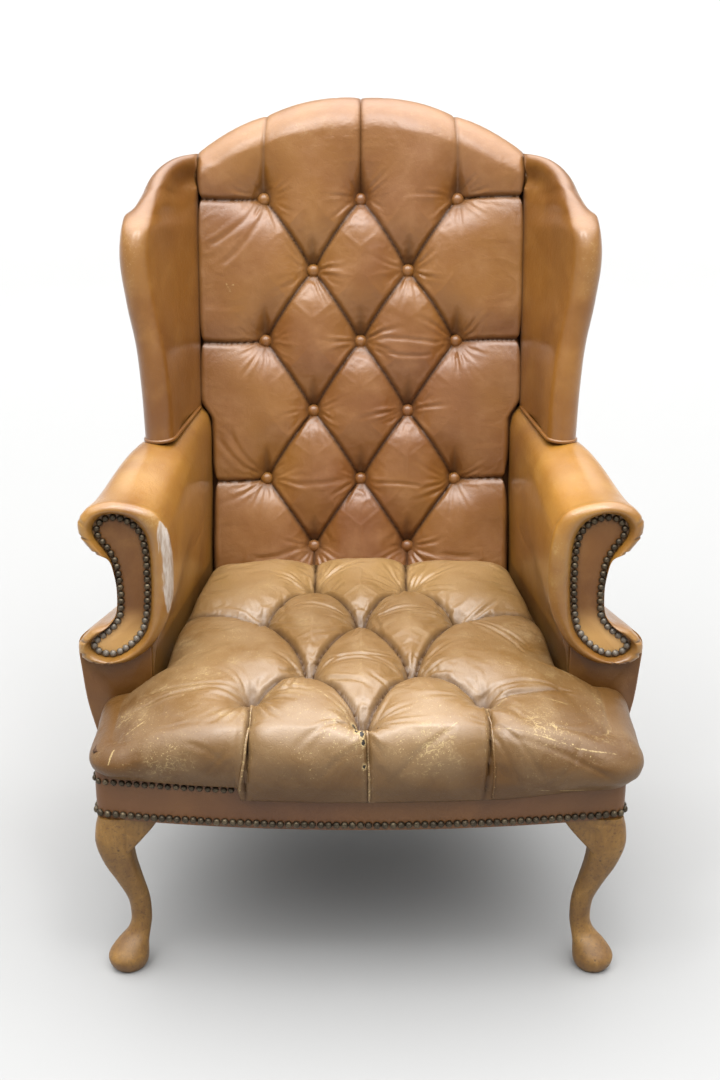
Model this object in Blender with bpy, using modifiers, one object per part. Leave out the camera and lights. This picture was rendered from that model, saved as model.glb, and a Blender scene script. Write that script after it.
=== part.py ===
"""Button-tufted leather wing chair on cabriole front legs, built piece by piece.

Metres, +Z up, the front faces -Y and the floor is Z = 0.
Right-hand pieces are drawn at +X, and left-hand ones are their mirror images.
"""

import math

import bmesh
import bpy
from mathutils import Vector
from mathutils.bvhtree import BVHTree

# Driving dimensions
GAP = 0.0003              # clearance between pieces that touch
CENTRE_Y = 0.0100         # shift that centres the whole chair's depth on the origin
RAIL_Z = (0.246, 0.340)   # bottom and top of the seat rails
FRONT_Y = -0.383          # front rail's face at its middle
FRONT_BOW = 0.032         # how far the front rail's ends fall back
FRONT_BACK_Y = -0.325     # front rail's flat back face
RAIL_HALF = 0.357         # half width over the front rail
SIDE_RAIL = ((-0.330, 0.357), (0.220, 0.287))  # (y, outer x) at each end
SIDE_RAIL_THICK = 0.030
POST_X = (0.245, 0.275)   # inner and outer face of a back post
POST_DEPTH = 0.040
LEAN = 0.1725             # the back's run per unit of height
BACK_FOOT = (0.164, 0.413)  # y and z where the inside back meets the seat
PAD_THICK = 0.071         # inside back surface to the post's face
POST_TOP = 0.985
CREST_TOP = 1.105
CREST_RADIUS = 0.410
BAND_TOP = 0.2965
NAIL_PITCH = 0.0125
ARM_NAIL_PITCH = 0.0104

# The arm's front, seen from in front: (x, z) of the outline, then of the nail line inside it.
ARM_LOOP = [
    ((0.3654, 0.4040), (0.3530, 0.4181)),
    ((0.3324, 0.4072), (0.3300, 0.4306)),
    ((0.3000, 0.4290), (0.3117, 0.4507)),
    ((0.2770, 0.4646), (0.3033, 0.4753)),
    ((0.2655, 0.5027), (0.3003, 0.5060)),
    ((0.2625, 0.5479), (0.2991, 0.5400)),
    ((0.2640, 0.5800), (0.3000, 0.5720)),
    ((0.2700, 0.6090), (0.3045, 0.5970)),
    ((0.2899, 0.6340), (0.3171, 0.6144)),
    ((0.3373, 0.6464), (0.3359, 0.6232)),
    ((0.3720, 0.6392), (0.3552, 0.6210)),
    ((0.3896, 0.6197), (0.3660, 0.6080)),
    ((0.3883, 0.5980), (0.3637, 0.5954)),
    ((0.3745, 0.5777), (0.3533, 0.5801)),
    ((0.3539, 0.5643), (0.3437, 0.5628)),
    ((0.3455, 0.5449), (0.3392, 0.5400)),
    ((0.3430, 0.5103), (0.3371, 0.5103)),
    ((0.3462, 0.4790), (0.3395, 0.4790)),
    ((0.3597, 0.4640), (0.3494, 0.4600)),
    ((0.3835, 0.4540), (0.3658, 0.4461)),
    ((0.4010, 0.4320), (0.3787, 0.4337)),
    ((0.3920, 0.4100), (0.3733, 0.4228)),
]

# Cross-sections (x, z) of the inside arm's and the outside arm's covers, at the front and at the rear
INSIDE_ARM_FRONT = [(0.2990, 0.3470), (0.2960, 0.4000), (0.2885, 0.4400), (0.2770, 0.4646), (0.2655, 0.5027),
                    (0.2625, 0.5479), (0.2640, 0.5800), (0.2700, 0.6090), (0.2899, 0.6340), (0.3373, 0.6464),
                    (0.3720, 0.6392), (0.3896, 0.6197), (0.3883, 0.5980), (0.3745, 0.5777), (0.3539, 0.5643),
                    (0.3457, 0.5470)]
INSIDE_ARM_REAR = [(0.2435, 0.3470), (0.2435, 0.4000), (0.2435, 0.4500), (0.2435, 0.5000), (0.2435, 0.5400),
                   (0.2435, 0.5800), (0.2435, 0.6150), (0.2445, 0.6420), (0.2500, 0.6620), (0.2640, 0.6735),
                   (0.2800, 0.6720), (0.2915, 0.6600), (0.2960, 0.6400), (0.2965, 0.6200), (0.2965, 0.6000),
                   (0.2965, 0.5800)]
OUTSIDE_ARM_FRONT = [(0.3442, 0.5405), (0.3425, 0.5103), (0.3460, 0.4790), (0.3597, 0.4640), (0.3835, 0.4540),
                     (0.4000, 0.4400), (0.4040, 0.4220), (0.4015, 0.3900), (0.3960, 0.3400), (0.3850, 0.2900),
                     (0.3730, 0.2463)]
OUTSIDE_ARM_REAR = [(0.2965, 0.5715), (0.2965, 0.5400), (0.2965, 0.5000), (0.2965, 0.4700), (0.2965, 0.4400),
                    (0.2965, 0.4200), (0.2965, 0.4000), (0.2965, 0.3700), (0.2960, 0.3300), (0.2950, 0.2900),
                    (0.2930, 0.2463)]
ARM_COVER_Y = -0.1847     # the covers start here, behind the front roll
ARM_ROLL_Y = (-0.1850, -0.1930, -0.0140)  # roll's back, its seat at the nails, and how far it bulges

# The wing's outer edge from the arm to the top of the back, and its inner root on the back pad.
WING_EDGE = [
    (0.3243, 0.020, 0.6765),
    (0.3288, 0.030, 0.7614),
    (0.3373, 0.042, 0.8252),
    (0.3472, 0.050, 0.8768),
    (0.3532, 0.055, 0.9285),
    (0.3535, 0.062, 0.9642),
    (0.3491, 0.075, 0.9918),
    (0.3400, 0.100, 1.0120),
    (0.3270, 0.135, 1.0260),
    (0.3180, 0.175, 1.0400),
    (0.3080, 0.215, 1.0570),
    (0.2920, 0.250, 1.0700),
    (0.2640, 0.272, 1.0720),
]
WING_ROOT_TOP = 1.012
WING_ROOT_X = 0.263
WING_REAR_X = 0.300
WING_ROLL = 0.023

# Buttons of the inside back (x, z) and of the seat (x, y)
COLUMN = 0.155
ROW = 0.1115
BACK_TOP_ROW = 1.000
SEAT_ROWS = [
    (0.070, (-0.073, 0.073)),
    (-0.058, (-0.147, 0.0, 0.147)),
    (-0.232, (-0.072, 0.072)),
]
SEAT_FRONT_ROW = [(-0.158, -0.328), (0.004, -0.372), (0.158, -0.328)]

RIGHT, LEFT = 1, -1
SIDES = ((LEFT, "left"), (RIGHT, "right"))


def lerp(a, b, t):
    return a + (b - a) * t


def smooth(t):
    t = min(max(t, 0.0), 1.0)
    return t * t * (3 - 2 * t)


def back_y(z):
    """Depth of the inside back's surface at a height."""
    return BACK_FOOT[0] + LEAN * (z - BACK_FOOT[1])


def side_rail_x(y):
    (y0, x0), (y1, x1) = SIDE_RAIL
    return lerp(x0, x1, (y - y0) / (y1 - y0))


def front_face_y(x):
    return FRONT_Y + FRONT_BOW * (x / RAIL_HALF) ** 2


def crest_z(x, top):
    """Height of the arched top at x."""
    return top - CREST_RADIUS + math.sqrt(CREST_RADIUS**2 - x * x)


def spline(points, u, closed):
    """Catmull-Rom curve through the points, at station u."""
    count = len(points)
    i = math.floor(u) if closed else min(max(math.floor(u), 0), count - 2)
    t = u - i

    def at(k):
        return Vector(points[k % count] if closed else points[min(max(k, 0), count - 1)])

    a, b, c, d = at(i - 1), at(i), at(i + 1), at(i + 2)
    return 0.5 * (2 * b + (c - a) * t + (2 * a - 5 * b + 4 * c - d) * t * t + (3 * b - a - 3 * c + d) * t**3)


# Scene, materials and helpers


def clear_scene():
    for obj in list(bpy.data.objects):
        bpy.data.objects.remove(obj)


def make_material(name, colour, roughness, metallic=0.0):
    material = bpy.data.materials.new(name)
    material.use_nodes = True
    shader = material.node_tree.nodes["Principled BSDF"]
    shader.inputs["Base Color"].default_value = (*colour, 1.0)
    shader.inputs["Roughness"].default_value = roughness
    shader.inputs["Metallic"].default_value = metallic
    return material


def make_materials():
    return {
        "leather": make_material("leather", (0.40, 0.17, 0.045), 0.38),
        "seat_leather": make_material("seat_leather", (0.42, 0.20, 0.075), 0.42),
        "leg_wood": make_material("leg_wood", (0.36, 0.22, 0.065), 0.45),
        "frame_wood": make_material("frame_wood", (0.50, 0.36, 0.20), 0.70),
        "nail_brass": make_material("nail_brass", (0.12, 0.09, 0.05), 0.40, 1.0),
        "spring_steel": make_material("spring_steel", (0.35, 0.35, 0.36), 0.35, 1.0),
        "webbing": make_material("webbing", (0.42, 0.32, 0.19), 0.90),
        "dust_cloth": make_material("dust_cloth", (0.03, 0.03, 0.03), 0.95),
    }


def new_collection(name):
    collection = bpy.data.collections.new(name)
    bpy.context.scene.collection.children.link(collection)
    return collection


def add_object(name, bm, material):
    bmesh.ops.recalc_face_normals(bm, faces=bm.faces[:])
    mesh = bpy.data.meshes.new(name)
    bm.to_mesh(mesh)
    bm.free()
    obj = bpy.data.objects.new(name, mesh)
    obj.location.y = CENTRE_Y
    obj.data.materials.append(MATERIALS[material])
    CHAIR.objects.link(obj)
    return obj


def add_pair(stem, draw, material, finish=None):
    """draw(side) gives a bmesh at +X, which is turned over for the left."""
    made = []
    for side, word in SIDES:
        bm = draw()
        bmesh.ops.scale(bm, vec=(side, 1, 1), verts=bm.verts[:])
        obj = add_object(f"{stem}_{word}", bm, material)
        if finish:
            finish(obj)
        made.append(obj)
    return made


def block(x, y, z):
    """A box between pairs of limits. A limit may be a function of the other coordinates."""
    bm = bmesh.new()
    bmesh.ops.create_cube(bm, size=2.0)
    for v in bm.verts:
        corner = [int(c > 0) for c in v.co]
        height = z[corner[2]]
        depth = y[corner[1]](height) if callable(y[corner[1]]) else y[corner[1]]
        across = x[corner[0]](depth) if callable(x[corner[0]]) else x[corner[0]]
        v.co = (across, depth, height)
    return bm


def grid(columns, rows, place):
    """A sheet of columns x rows cells, each point put at place(s, t) with s and t from 0 to 1."""
    bm = bmesh.new()
    bmesh.ops.create_grid(bm, x_segments=columns, y_segments=rows, size=0.5)
    for v in bm.verts:
        v.co = place(v.co.x + 0.5, v.co.y + 0.5)
    return bm


def tube(rings, count, place, chords=()):
    """A closed sleeve: count points round, rings stations along. Chords divide each end into flat parts."""
    bm = bmesh.new()
    loops = [[bm.verts.new(place(k / count, r / (rings - 1))) for k in range(count)] for r in range(rings)]
    for low, high in zip(loops, loops[1:]):
        for k in range(count):
            bm.faces.new((low[k], low[(k + 1) % count], high[(k + 1) % count], high[k]))
    for loop in (loops[0], loops[-1]):
        left = list(range(count))
        for a, b in chords:
            i, j = left.index(a), left.index(b)
            bm.faces.new([loop[k] for k in left[i:j + 1]])
            left = left[:i + 1] + left[j:]
        bm.faces.new([loop[k] for k in left])
    return bm


def ring(stations, section, place):
    """A closed ring: a section of a few points carried round a loop of stations."""
    bm = bmesh.new()
    loops = [[bm.verts.new(place(i / stations, k)) for k in range(section)] for i in range(stations)]
    for i in range(stations):
        here, there = loops[i], loops[(i + 1) % stations]
        for k in range(section):
            bm.faces.new((here[k], here[(k + 1) % section], there[(k + 1) % section], there[k]))
    return bm


def slab(outline, z_low, z_high):
    """A flat outline in plan, drawn up from z_low to z_high."""
    bm = bmesh.new()
    face = bm.faces.new([bm.verts.new((x, y, z_low)) for x, y in outline])
    made = bmesh.ops.extrude_face_region(bm, geom=[face])
    top = [v for v in made["geom"] if isinstance(v, bmesh.types.BMVert)]
    bmesh.ops.translate(bm, vec=(0, 0, z_high - z_low), verts=top)
    return bm


def solidify(obj, thickness, offset=-1.0):
    wall = obj.modifiers.new("Wall", "SOLIDIFY")
    wall.thickness = thickness
    wall.offset = offset
    wall.use_even_offset = True
    return wall


def round_edges(obj, width, segments=2):
    bevel = obj.modifiers.new("Rounded edges", "BEVEL")
    bevel.width = width
    bevel.segments = segments
    bevel.limit_method = "ANGLE"


def union(obj, cutters):
    """Fuses the objects of a collection into obj."""
    join = obj.modifiers.new("Fused pieces", "BOOLEAN")
    join.operation = "UNION"
    join.operand_type = "COLLECTION"
    join.collection = cutters
    join.solver = "EXACT"


def helper_collection(name):
    collection = bpy.data.collections.new(name)
    HELPERS.children.link(collection)
    return collection


def hide_helper(obj, collection):
    CHAIR.objects.unlink(obj)
    collection.objects.link(obj)
    obj.hide_render = True
    obj.display_type = "WIRE"


# Wooden frame


def rail_path(offset, corner=0.012):
    """The seat frame's outline in plan, from the left side round the front to the right side."""
    points = []
    for k in range(-12, 13):
        x = (RAIL_HALF - corner) * k / 12
        slope = 2 * FRONT_BOW * x / RAIL_HALF**2
        run = math.hypot(1, slope)
        points.append((x + offset * slope / run, front_face_y(x) - offset / run))
    last = points[-1]
    centre = Vector((RAIL_HALF - corner, front_face_y(RAIL_HALF - corner) + corner))
    turned = [(centre.x + (corner + offset) * math.sin(a), centre.y - (corner + offset) * math.cos(a))
              for a in (math.radians(30), math.radians(60), math.radians(90))]
    end_y = ARM_COVER_Y - 0.0033
    right = [last] + turned + [(side_rail_x(y) + offset, y) for y in (FRONT_BACK_Y, -0.270, end_y)]
    left = [(-x, y) for x, y in right[::-1]]
    return left[:-1] + points[:-1][1:] + right


def build_seat_frame():
    front = [p for p in rail_path(0.0) if p[1] < -0.330]
    outline = front + [(side_rail_x(FRONT_BACK_Y), FRONT_BACK_Y), (-side_rail_x(FRONT_BACK_Y), FRONT_BACK_Y)]
    add_object("front_rail", slab(outline, *RAIL_Z), "frame_wood")

    def side_rail():
        return block(
            (lambda y: side_rail_x(y) - SIDE_RAIL_THICK, side_rail_x),
            (FRONT_BACK_Y + GAP, lambda z: back_y(z) + PAD_THICK - GAP),
            RAIL_Z,
        )

    add_pair("side_rail", side_rail, "frame_wood")
    rail_y = (lambda z: back_y(z) + PAD_THICK, lambda z: back_y(z) + PAD_THICK + 0.030)
    add_object("back_rail", block((-POST_X[0] + GAP, POST_X[0] - GAP), rail_y, RAIL_Z), "frame_wood")
    add_pair("corner_block", corner_block, "frame_wood")


def corner_block():
    """A triangular brace glued in the corner behind the front rail."""
    reach, y0 = 0.060, FRONT_BACK_Y + GAP
    x0, x1 = side_rail_x(y0) - SIDE_RAIL_THICK - GAP, side_rail_x(y0 + reach) - SIDE_RAIL_THICK - GAP
    return slab([(x0, y0), (x1, y0 + reach), (x0 - reach, y0)], RAIL_Z[0] + 0.020, RAIL_Z[1] - 0.010)


def build_back_frame():
    post_y = (lambda z: back_y(z) + PAD_THICK, lambda z: back_y(z) + PAD_THICK + POST_DEPTH)
    add_pair("back_post", lambda: block(POST_X, post_y, (RAIL_Z[0], POST_TOP)), "frame_wood")
    rail_y = (post_y[0], lambda z: back_y(z) + PAD_THICK + 0.025)
    span = (-POST_X[0] + GAP, POST_X[0] - GAP)
    add_object("lower_back_rail", block(span, rail_y, (0.430, 0.490)), "frame_wood")
    crest = block((-POST_X[1], POST_X[1]), post_y, (POST_TOP + GAP, CREST_TOP))
    bmesh.ops.subdivide_edges(crest, edges=[e for e in crest.edges if abs(e.verts[0].co.x - e.verts[1].co.x) > 0.1],
                              cuts=9, use_grid_fill=True)
    for v in crest.verts:
        if v.co.z > POST_TOP + 0.01:
            height = crest_z(v.co.x, CREST_TOP)
            v.co.y += LEAN * (height - v.co.z)
            v.co.z = height
    add_object("crest_rail", crest, "frame_wood")


def build_arm_frame():
    post_x = (lambda z: lerp(0.3220, 0.2980, (z - 0.340) / 0.260), lambda z: lerp(0.3460, 0.3210, (z - 0.340) / 0.260))
    post_y = (-0.180, -0.145)

    def arm_post():
        bm = block((0.0, 1.0), post_y, (RAIL_Z[1] + GAP, 0.600))
        for v in bm.verts:
            v.co.x = post_x[round(v.co.x)](v.co.z)
        return bm

    def arm_rail():
        bm = block((0.0, 1.0), (post_y[1] + GAP, 0.250), (0.572, 0.600))
        for v in bm.verts:
            near = v.co.y < 0
            low, high = (0.2900, 0.3080) if near else (0.2610, 0.2790)
            v.co.x = high if v.co.x > 0.5 else low
            if not near:
                v.co.y = back_y(v.co.z) + PAD_THICK - GAP
        return bm

    add_pair("arm_post", arm_post, "frame_wood")
    add_pair("arm_rail", arm_rail, "frame_wood")


def leg_section(z):
    """Centre x, centre y and half size of the cabriole leg at height z."""
    shape = [
        (0.000, 0.3290, -0.3430, 0.0210),
        (0.008, 0.3290, -0.3430, 0.0262),
        (0.022, 0.3285, -0.3425, 0.0272),
        (0.036, 0.3240, -0.3370, 0.0225),
        (0.050, 0.3160, -0.3290, 0.0165),
        (0.066, 0.3130, -0.3250, 0.0146),
        (0.100, 0.3170, -0.3270, 0.0158),
        (0.135, 0.3270, -0.3320, 0.0200),
        (0.168, 0.3320, -0.3360, 0.0255),
        (0.203, 0.3370, -0.3390, 0.0285),
        (0.228, 0.3350, -0.3370, 0.0280),
        (0.2457, 0.3320, -0.3350, 0.0275),
    ]
    for low, high in zip(shape, shape[1:]):
        if z <= high[0]:
            t = (z - low[0]) / (high[0] - low[0])
            return [lerp(a, b, t) for a, b in zip(low[1:], high[1:])]
    return list(shape[-1][1:])


LEG_HEIGHTS = (0.0, 0.008, 0.022, 0.036, 0.050, 0.066, 0.100, 0.135, 0.168, 0.203, 0.228, 0.2457)


def front_leg():
    """Round at the foot and ankle, and squarer at the knee."""

    def place(around, along):
        z = LEG_HEIGHTS[round(along * (len(LEG_HEIGHTS) - 1))]
        x, y, half = leg_section(z)
        angle = 2 * math.pi * around
        square = lerp(2.0, 3.2, smooth((z - 0.09) / 0.10))
        c, s = math.cos(angle), math.sin(angle)
        reach = half / (abs(c) ** square + abs(s) ** square) ** (1 / square)
        return (x + reach * c, y + reach * s, z)

    return tube(len(LEG_HEIGHTS), 16, place)


def knee_bracket(along_front):
    """The ear that runs from the knee up to the rail. Its lower edge is a hollow curve."""
    length, top, thick = 0.044, RAIL_Z[0] - GAP, 0.030
    steps = 6
    profile = [(0.0, 0.0)] + [(length * k / steps, 0.052 * (1 - k / steps) ** 1.25) for k in range(steps + 1)]
    bm = bmesh.new()
    face = bm.faces.new([bm.verts.new((d, 0, top - drop)) for d, drop in profile])
    made = bmesh.ops.extrude_face_region(bm, geom=[face])
    bmesh.ops.translate(bm, vec=(0, thick, 0), verts=[v for v in made["geom"] if isinstance(v, bmesh.types.BMVert)])
    for v in bm.verts:
        along, deep, z = v.co
        if along_front:
            v.co = (0.3020 - along, -0.3590 + deep + 0.12 * along, z)
        else:
            v.co = (0.3470 - deep, -0.3070 + along, z)
    return bm


def rear_leg():
    """A raked, tapering leg that sweeps back to the floor."""
    rings = 7

    def place(around, along):
        z = (RAIL_Z[0] - GAP) * (1 - along)
        half = lerp(0.0195, 0.0150, along)
        x = 0.2600 + 0.012 * along
        y = lerp(back_y(RAIL_Z[0]) + PAD_THICK + POST_DEPTH / 2, 0.372, along**1.5)
        angle = 2 * math.pi * (around + 0.0625)
        c, s = math.cos(angle), math.sin(angle)
        reach = half / (abs(c) ** 5 + abs(s) ** 5) ** 0.2
        return (x + reach * c, y + reach * s, z)

    return tube(rings, 8, place)


def build_legs():
    add_pair("front_leg", front_leg, "leg_wood")
    add_pair("knee_bracket_front", lambda: knee_bracket(True), "leg_wood")
    add_pair("knee_bracket_side", lambda: knee_bracket(False), "leg_wood")
    add_pair("rear_leg", rear_leg, "leg_wood")


# Suspension and linings


def build_suspension():
    """Zigzag springs laid from the back rail to the front rail, and their burlap deck."""
    wire, span, turns, half_width = 0.0017, (-0.345, 0.215), 7, 0.020
    points_per_turn = 4
    count = turns * points_per_turn
    for number, x in enumerate((-0.165, -0.055, 0.055, 0.165), start=1):
        data = bpy.data.curves.new(f"seat_spring_{number}", "CURVE")
        data.dimensions = "3D"
        data.bevel_depth = wire
        data.bevel_resolution = 0
        data.use_fill_caps = True
        line = data.splines.new("POLY")
        line.points.add(count)
        for k, point in enumerate(line.points):
            swing = 2 * math.pi * k / points_per_turn
            point.co = (
                x + half_width * math.sin(swing),
                lerp(*span, k / count),
                RAIL_Z[1] + GAP + wire,
                1.0,
            )
        obj = bpy.data.objects.new(f"seat_spring_{number}", data)
        obj.location.y = CENTRE_Y
        data.materials.append(MATERIALS["spring_steel"])
        CHAIR.objects.link(obj)
    low = RAIL_Z[1] + 2 * wire + 2 * GAP
    deck = [(-0.345, -0.350), (0.345, -0.350), (0.330, -0.200), (0.290, -0.199), (0.225, 0.205), (-0.225, 0.205),
            (-0.290, -0.199), (-0.330, -0.200)]
    add_object("seat_deck", slab(deck, low, low + DECK_THICK), "webbing")
    web_y = (lambda z: back_y(z) + PAD_THICK - GAP - WEB_THICK, lambda z: back_y(z) + PAD_THICK - GAP)
    for number, x in enumerate((-0.130, 0.0, 0.130), start=1):
        strap = block((x - 0.025, x + 0.025), web_y, (0.440, 1.050))
        add_object(f"back_web_{number}", strap, "webbing")


DECK_THICK = 0.0014
WEB_THICK = 0.0022
DECK_TOP = RAIL_Z[1] + 2 * 0.0017 + 2 * GAP + DECK_THICK


def build_linings():
    outline = [(-0.250, -0.352), (0.250, -0.352), (0.250, -0.260), (0.310, -0.260), (0.268, 0.150), (0.236, 0.150),
               (0.236, 0.200), (-0.236, 0.200), (-0.236, 0.150), (-0.268, 0.150), (-0.310, -0.260), (-0.250, -0.260)]
    add_object("dust_cover", slab(outline, RAIL_Z[0] - GAP - 0.0012, RAIL_Z[0] - GAP), "dust_cloth")
    outer = PAD_THICK + POST_DEPTH + GAP
    panel_y = (lambda z: back_y(z) + outer, lambda z: back_y(z) + outer + 0.004)
    panel = block((-0.291, 0.291), panel_y, (RAIL_Z[0], 1.040))
    bmesh.ops.subdivide_edges(panel, edges=[e for e in panel.edges if abs(e.verts[0].co.x - e.verts[1].co.x) > 0.1],
                              cuts=9, use_grid_fill=True)
    for v in panel.verts:
        if v.co.z > 1.0:
            height = crest_z(v.co.x, 1.105)
            v.co.y += LEAN * (height - v.co.z)
            v.co.z = height
    add_object("outside_back", panel, "leather")


# Tufting


def pleat_depth(point, buttons, pleats, half_width, mid_depth, pit_depth):
    """How far the leather is drawn in at a point of the flat cover.

    Each pleat is a crease between two ends. It is deepest at a button, and the leather
    swells out from it like a cushion over half_width.
    """
    deepest = 0.0
    for start, end in pleats:
        along = end - start
        t = min(max((point - start).dot(along) / along.length_squared, 0.0), 1.0)
        distance = (point - start - along * t).length
        if distance >= half_width:
            continue
        rise = 1 - distance / half_width
        fall = mid_depth * (1 - math.sqrt(1 - rise * rise * 0.999))
        deepest = max(deepest, fall)
    pit = 0.0
    for button in buttons:
        distance = (point - button).length
        pit = max(pit, (pit_depth - mid_depth) * math.exp(-((distance / (0.55 * half_width)) ** 1.5)))
    return deepest + pit


def back_buttons():
    found = []
    for row in range(6):
        z = BACK_TOP_ROW - ROW * row
        columns = (-1, 0, 1) if row % 2 == 0 else (-0.5, 0.5)
        found += [Vector((COLUMN * c, z)) for c in columns]
    return found


def back_pleats():
    buttons = back_buttons()
    pleats = []
    for a in buttons:
        for b in buttons:
            if abs(a.y - b.y - ROW) < 0.01 and abs(abs(a.x - b.x) - COLUMN / 2) < 0.01:
                pleats.append((a, b))
    for button in buttons:
        if button.y > BACK_TOP_ROW - 0.01:
            pleats.append((button, Vector((button.x, 1.22))))
        if button.y < BACK_TOP_ROW - 4.5 * ROW:
            pleats.append((button, Vector((button.x, 0.30))))
        if abs(button.x) > 0.9 * COLUMN:
            pleats.append((button, Vector((math.copysign(0.33, button.x), button.y))))
    return pleats


def seat_buttons():
    return [Vector((x, y)) for y, row in SEAT_ROWS for x in row] + [Vector(p) for p in SEAT_FRONT_ROW]


def seat_pleats():
    """Diagonals between rows, then the pleats that run to the edges."""
    rows = [[Vector((x, y)) for x in row] for y, row in SEAT_ROWS] + [[Vector(p) for p in SEAT_FRONT_ROW]]
    pleats = []
    for near, far in zip(rows, rows[1:]):
        for a in near:
            for b in far:
                if abs(a.x - b.x) < 0.10:
                    pleats.append((a, b))
    for a in rows[0]:
        pleats.append((a, Vector((a.x, 0.25))))
    for a in rows[3]:
        pleats.append((a, Vector((a.x * 1.06, -0.60))))
    for a in (rows[1][0], rows[1][2], rows[3][0], rows[3][2]):
        pleats.append((a, Vector((math.copysign(0.46, a.x), a.y + 0.02))))
    return pleats


def normal_of(place, s, t, step=0.004):
    """Outward normal of a sheet at s, t."""
    across = Vector(place(s + step, t)) - Vector(place(s - step, t))
    along = Vector(place(s, t + step)) - Vector(place(s, t - step))
    return across.cross(along).normalized()


def tufted(place, flat, columns, rows, depth, outward=1):
    """A sheet at place(s, t), drawn in along its normal by depth(flat(s, t))."""

    def drawn(s, t):
        base = Vector(place(s, t))
        return base - outward * normal_of(place, s, t) * depth(Vector(flat(s, t)))

    return grid(columns, rows, drawn)


def close_skirt(bm, steps):
    """Carries the sheet's edge through each step, a function of the rim's points, and fills the end."""
    rim = [e for e in bm.edges if e.is_boundary]
    for step in steps:
        made = bmesh.ops.extrude_edge_only(bm, edges=rim)
        verts = [v for v in made["geom"] if isinstance(v, bmesh.types.BMVert)]
        rim = [e for e in made["geom"] if isinstance(e, bmesh.types.BMEdge) and e.is_boundary]
        for v in verts:
            v.co = step(v.co)
    filled = bmesh.ops.triangle_fill(bm, edges=rim, use_beauty=True)
    del filled


def button_domes(name, tree, places, radius, helpers):
    """Small domed buttons, each turned to its normal and sunk a little into the pad below it."""
    for number, (above, normal) in enumerate(places, start=1):
        normal = normal.normalized()
        centre = tree.ray_cast(above, -normal)[0] + normal * 0.0015
        bm = bmesh.new()
        bmesh.ops.create_uvsphere(bm, u_segments=8, v_segments=4, radius=radius)
        bmesh.ops.scale(bm, vec=(1, 1, 0.62), verts=bm.verts[:])
        turn = normal.to_track_quat("Z", "Y").to_matrix()
        bmesh.ops.rotate(bm, cent=(0, 0, 0), matrix=turn, verts=bm.verts[:])
        bmesh.ops.translate(bm, vec=centre, verts=bm.verts[:])
        hide_helper(add_object(f"{name}_button_{number}", bm, "leather"), helpers)


# Inside back

BACK_PIT, BACK_MID = 0.034, 0.016
BACK_BOTTOM_Z = 0.392
BACK_TOP_Z = 1.150
ROLL_HEIGHT = 0.045
BACK_REAR = PAD_THICK - WEB_THICK - 3 * GAP
BACK_ROWS = 35
FRONT_SHARE = 0.80        # share of the tufted sheet that lies on the front
WIDENING = (0.672, 0.722)  # heights between which the pad widens from the arms to the wings


def back_half_width(z):
    """The pad narrows between the arms and is widest between the wings."""
    return lerp(0.2425, 0.2610, smooth((z - WIDENING[0]) / (WIDENING[1] - WIDENING[0])))


def front_height(t, top):
    """Height of a row of the front: even below the arms' top, between it and the wings, and above."""
    k = t * BACK_ROWS
    last = FRONT_SHARE * BACK_ROWS
    if k <= 12:
        return lerp(BACK_BOTTOM_Z, WIDENING[0], k / 12)
    if k <= 14:
        return lerp(*WIDENING, (k - 12) / 2)
    return lerp(WIDENING[1], top, (k - 14) / (last - 14))


def back_place(s, t):
    """The plain outer surface: up the front, then over the arched top and down to the crest rail."""
    side = 2 * s - 1
    top = crest_z(side * 0.258, BACK_TOP_Z) - ROLL_HEIGHT
    if t < FRONT_SHARE:
        z = front_height(t, top)
        y = back_y(z)
    else:
        angle = math.pi * (t - FRONT_SHARE) / (1 - FRONT_SHARE)
        half_depth = (PAD_THICK + POST_DEPTH) / 2
        z = lerp(top, crest_ledge(side * 0.261), (1 - math.cos(angle)) / 2) + ROLL_HEIGHT * math.sin(angle)
        y = back_y(z) + half_depth * (1 - math.cos(angle))
    edge = max(0.0, abs(side) - 0.88) / 0.12
    if t < FRONT_SHARE:
        y += 0.012 * edge**2
    return (side * back_half_width(z), y, z)


def crest_ledge(x):
    """Height at which the pad sits on the crest rail."""
    return max(crest_z(x, CREST_TOP) + GAP, POST_TOP + 2 * GAP)


def back_flat(s, t):
    x, _, z = back_place(s, t)
    top = crest_z((2 * s - 1) * 0.258, BACK_TOP_Z) - ROLL_HEIGHT
    return (x, z if t < FRONT_SHARE else top + 0.14 * (t - FRONT_SHARE) / (1 - FRONT_SHARE))


def build_back_pad():
    buttons, pleats = back_buttons(), back_pleats()
    columns, rows = 26, BACK_ROWS

    def depth(point):
        fade = 1 - smooth((point.y - 1.115) / 0.07)
        return fade * pleat_depth(point, buttons, pleats, 0.044, BACK_MID, BACK_PIT)

    def place(around, along):
        k = round(around * (rows + 4))
        s = along
        if k <= rows:
            t = k / rows
            base = Vector(back_place(s, t))
            drawn = base - normal_of(back_place, s, t) * depth(Vector(back_flat(s, t)))
            limit = back_half_width(drawn.z)
            drawn.x = min(max(drawn.x, -limit), limit)
            return drawn
        side = 2 * s - 1
        ledge = crest_ledge(side * 0.261)
        z = (ledge, WIDENING[1], WIDENING[0], BACK_BOTTOM_Z)[k - rows - 1]
        return (side * back_half_width(z), back_y(z) + BACK_REAR, z)

    bm = tube(columns + 1, rows + 5, lambda around, along: place(around * (rows + 5) / (rows + 4), along),
              ((14, rows + 2), (12, rows + 3)))
    tree = BVHTree.FromBMesh(bm)
    pad = add_object("back_pad", bm, "leather")
    helpers = helper_collection("back buttons")
    places = [(Vector((b.x, back_y(b.y) - 0.05, b.y + 0.05 * LEAN)), Vector((0, -1, LEAN))) for b in buttons]
    button_domes("back", tree, places, 0.0095, helpers)
    union(pad, helpers)


# Seat

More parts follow.
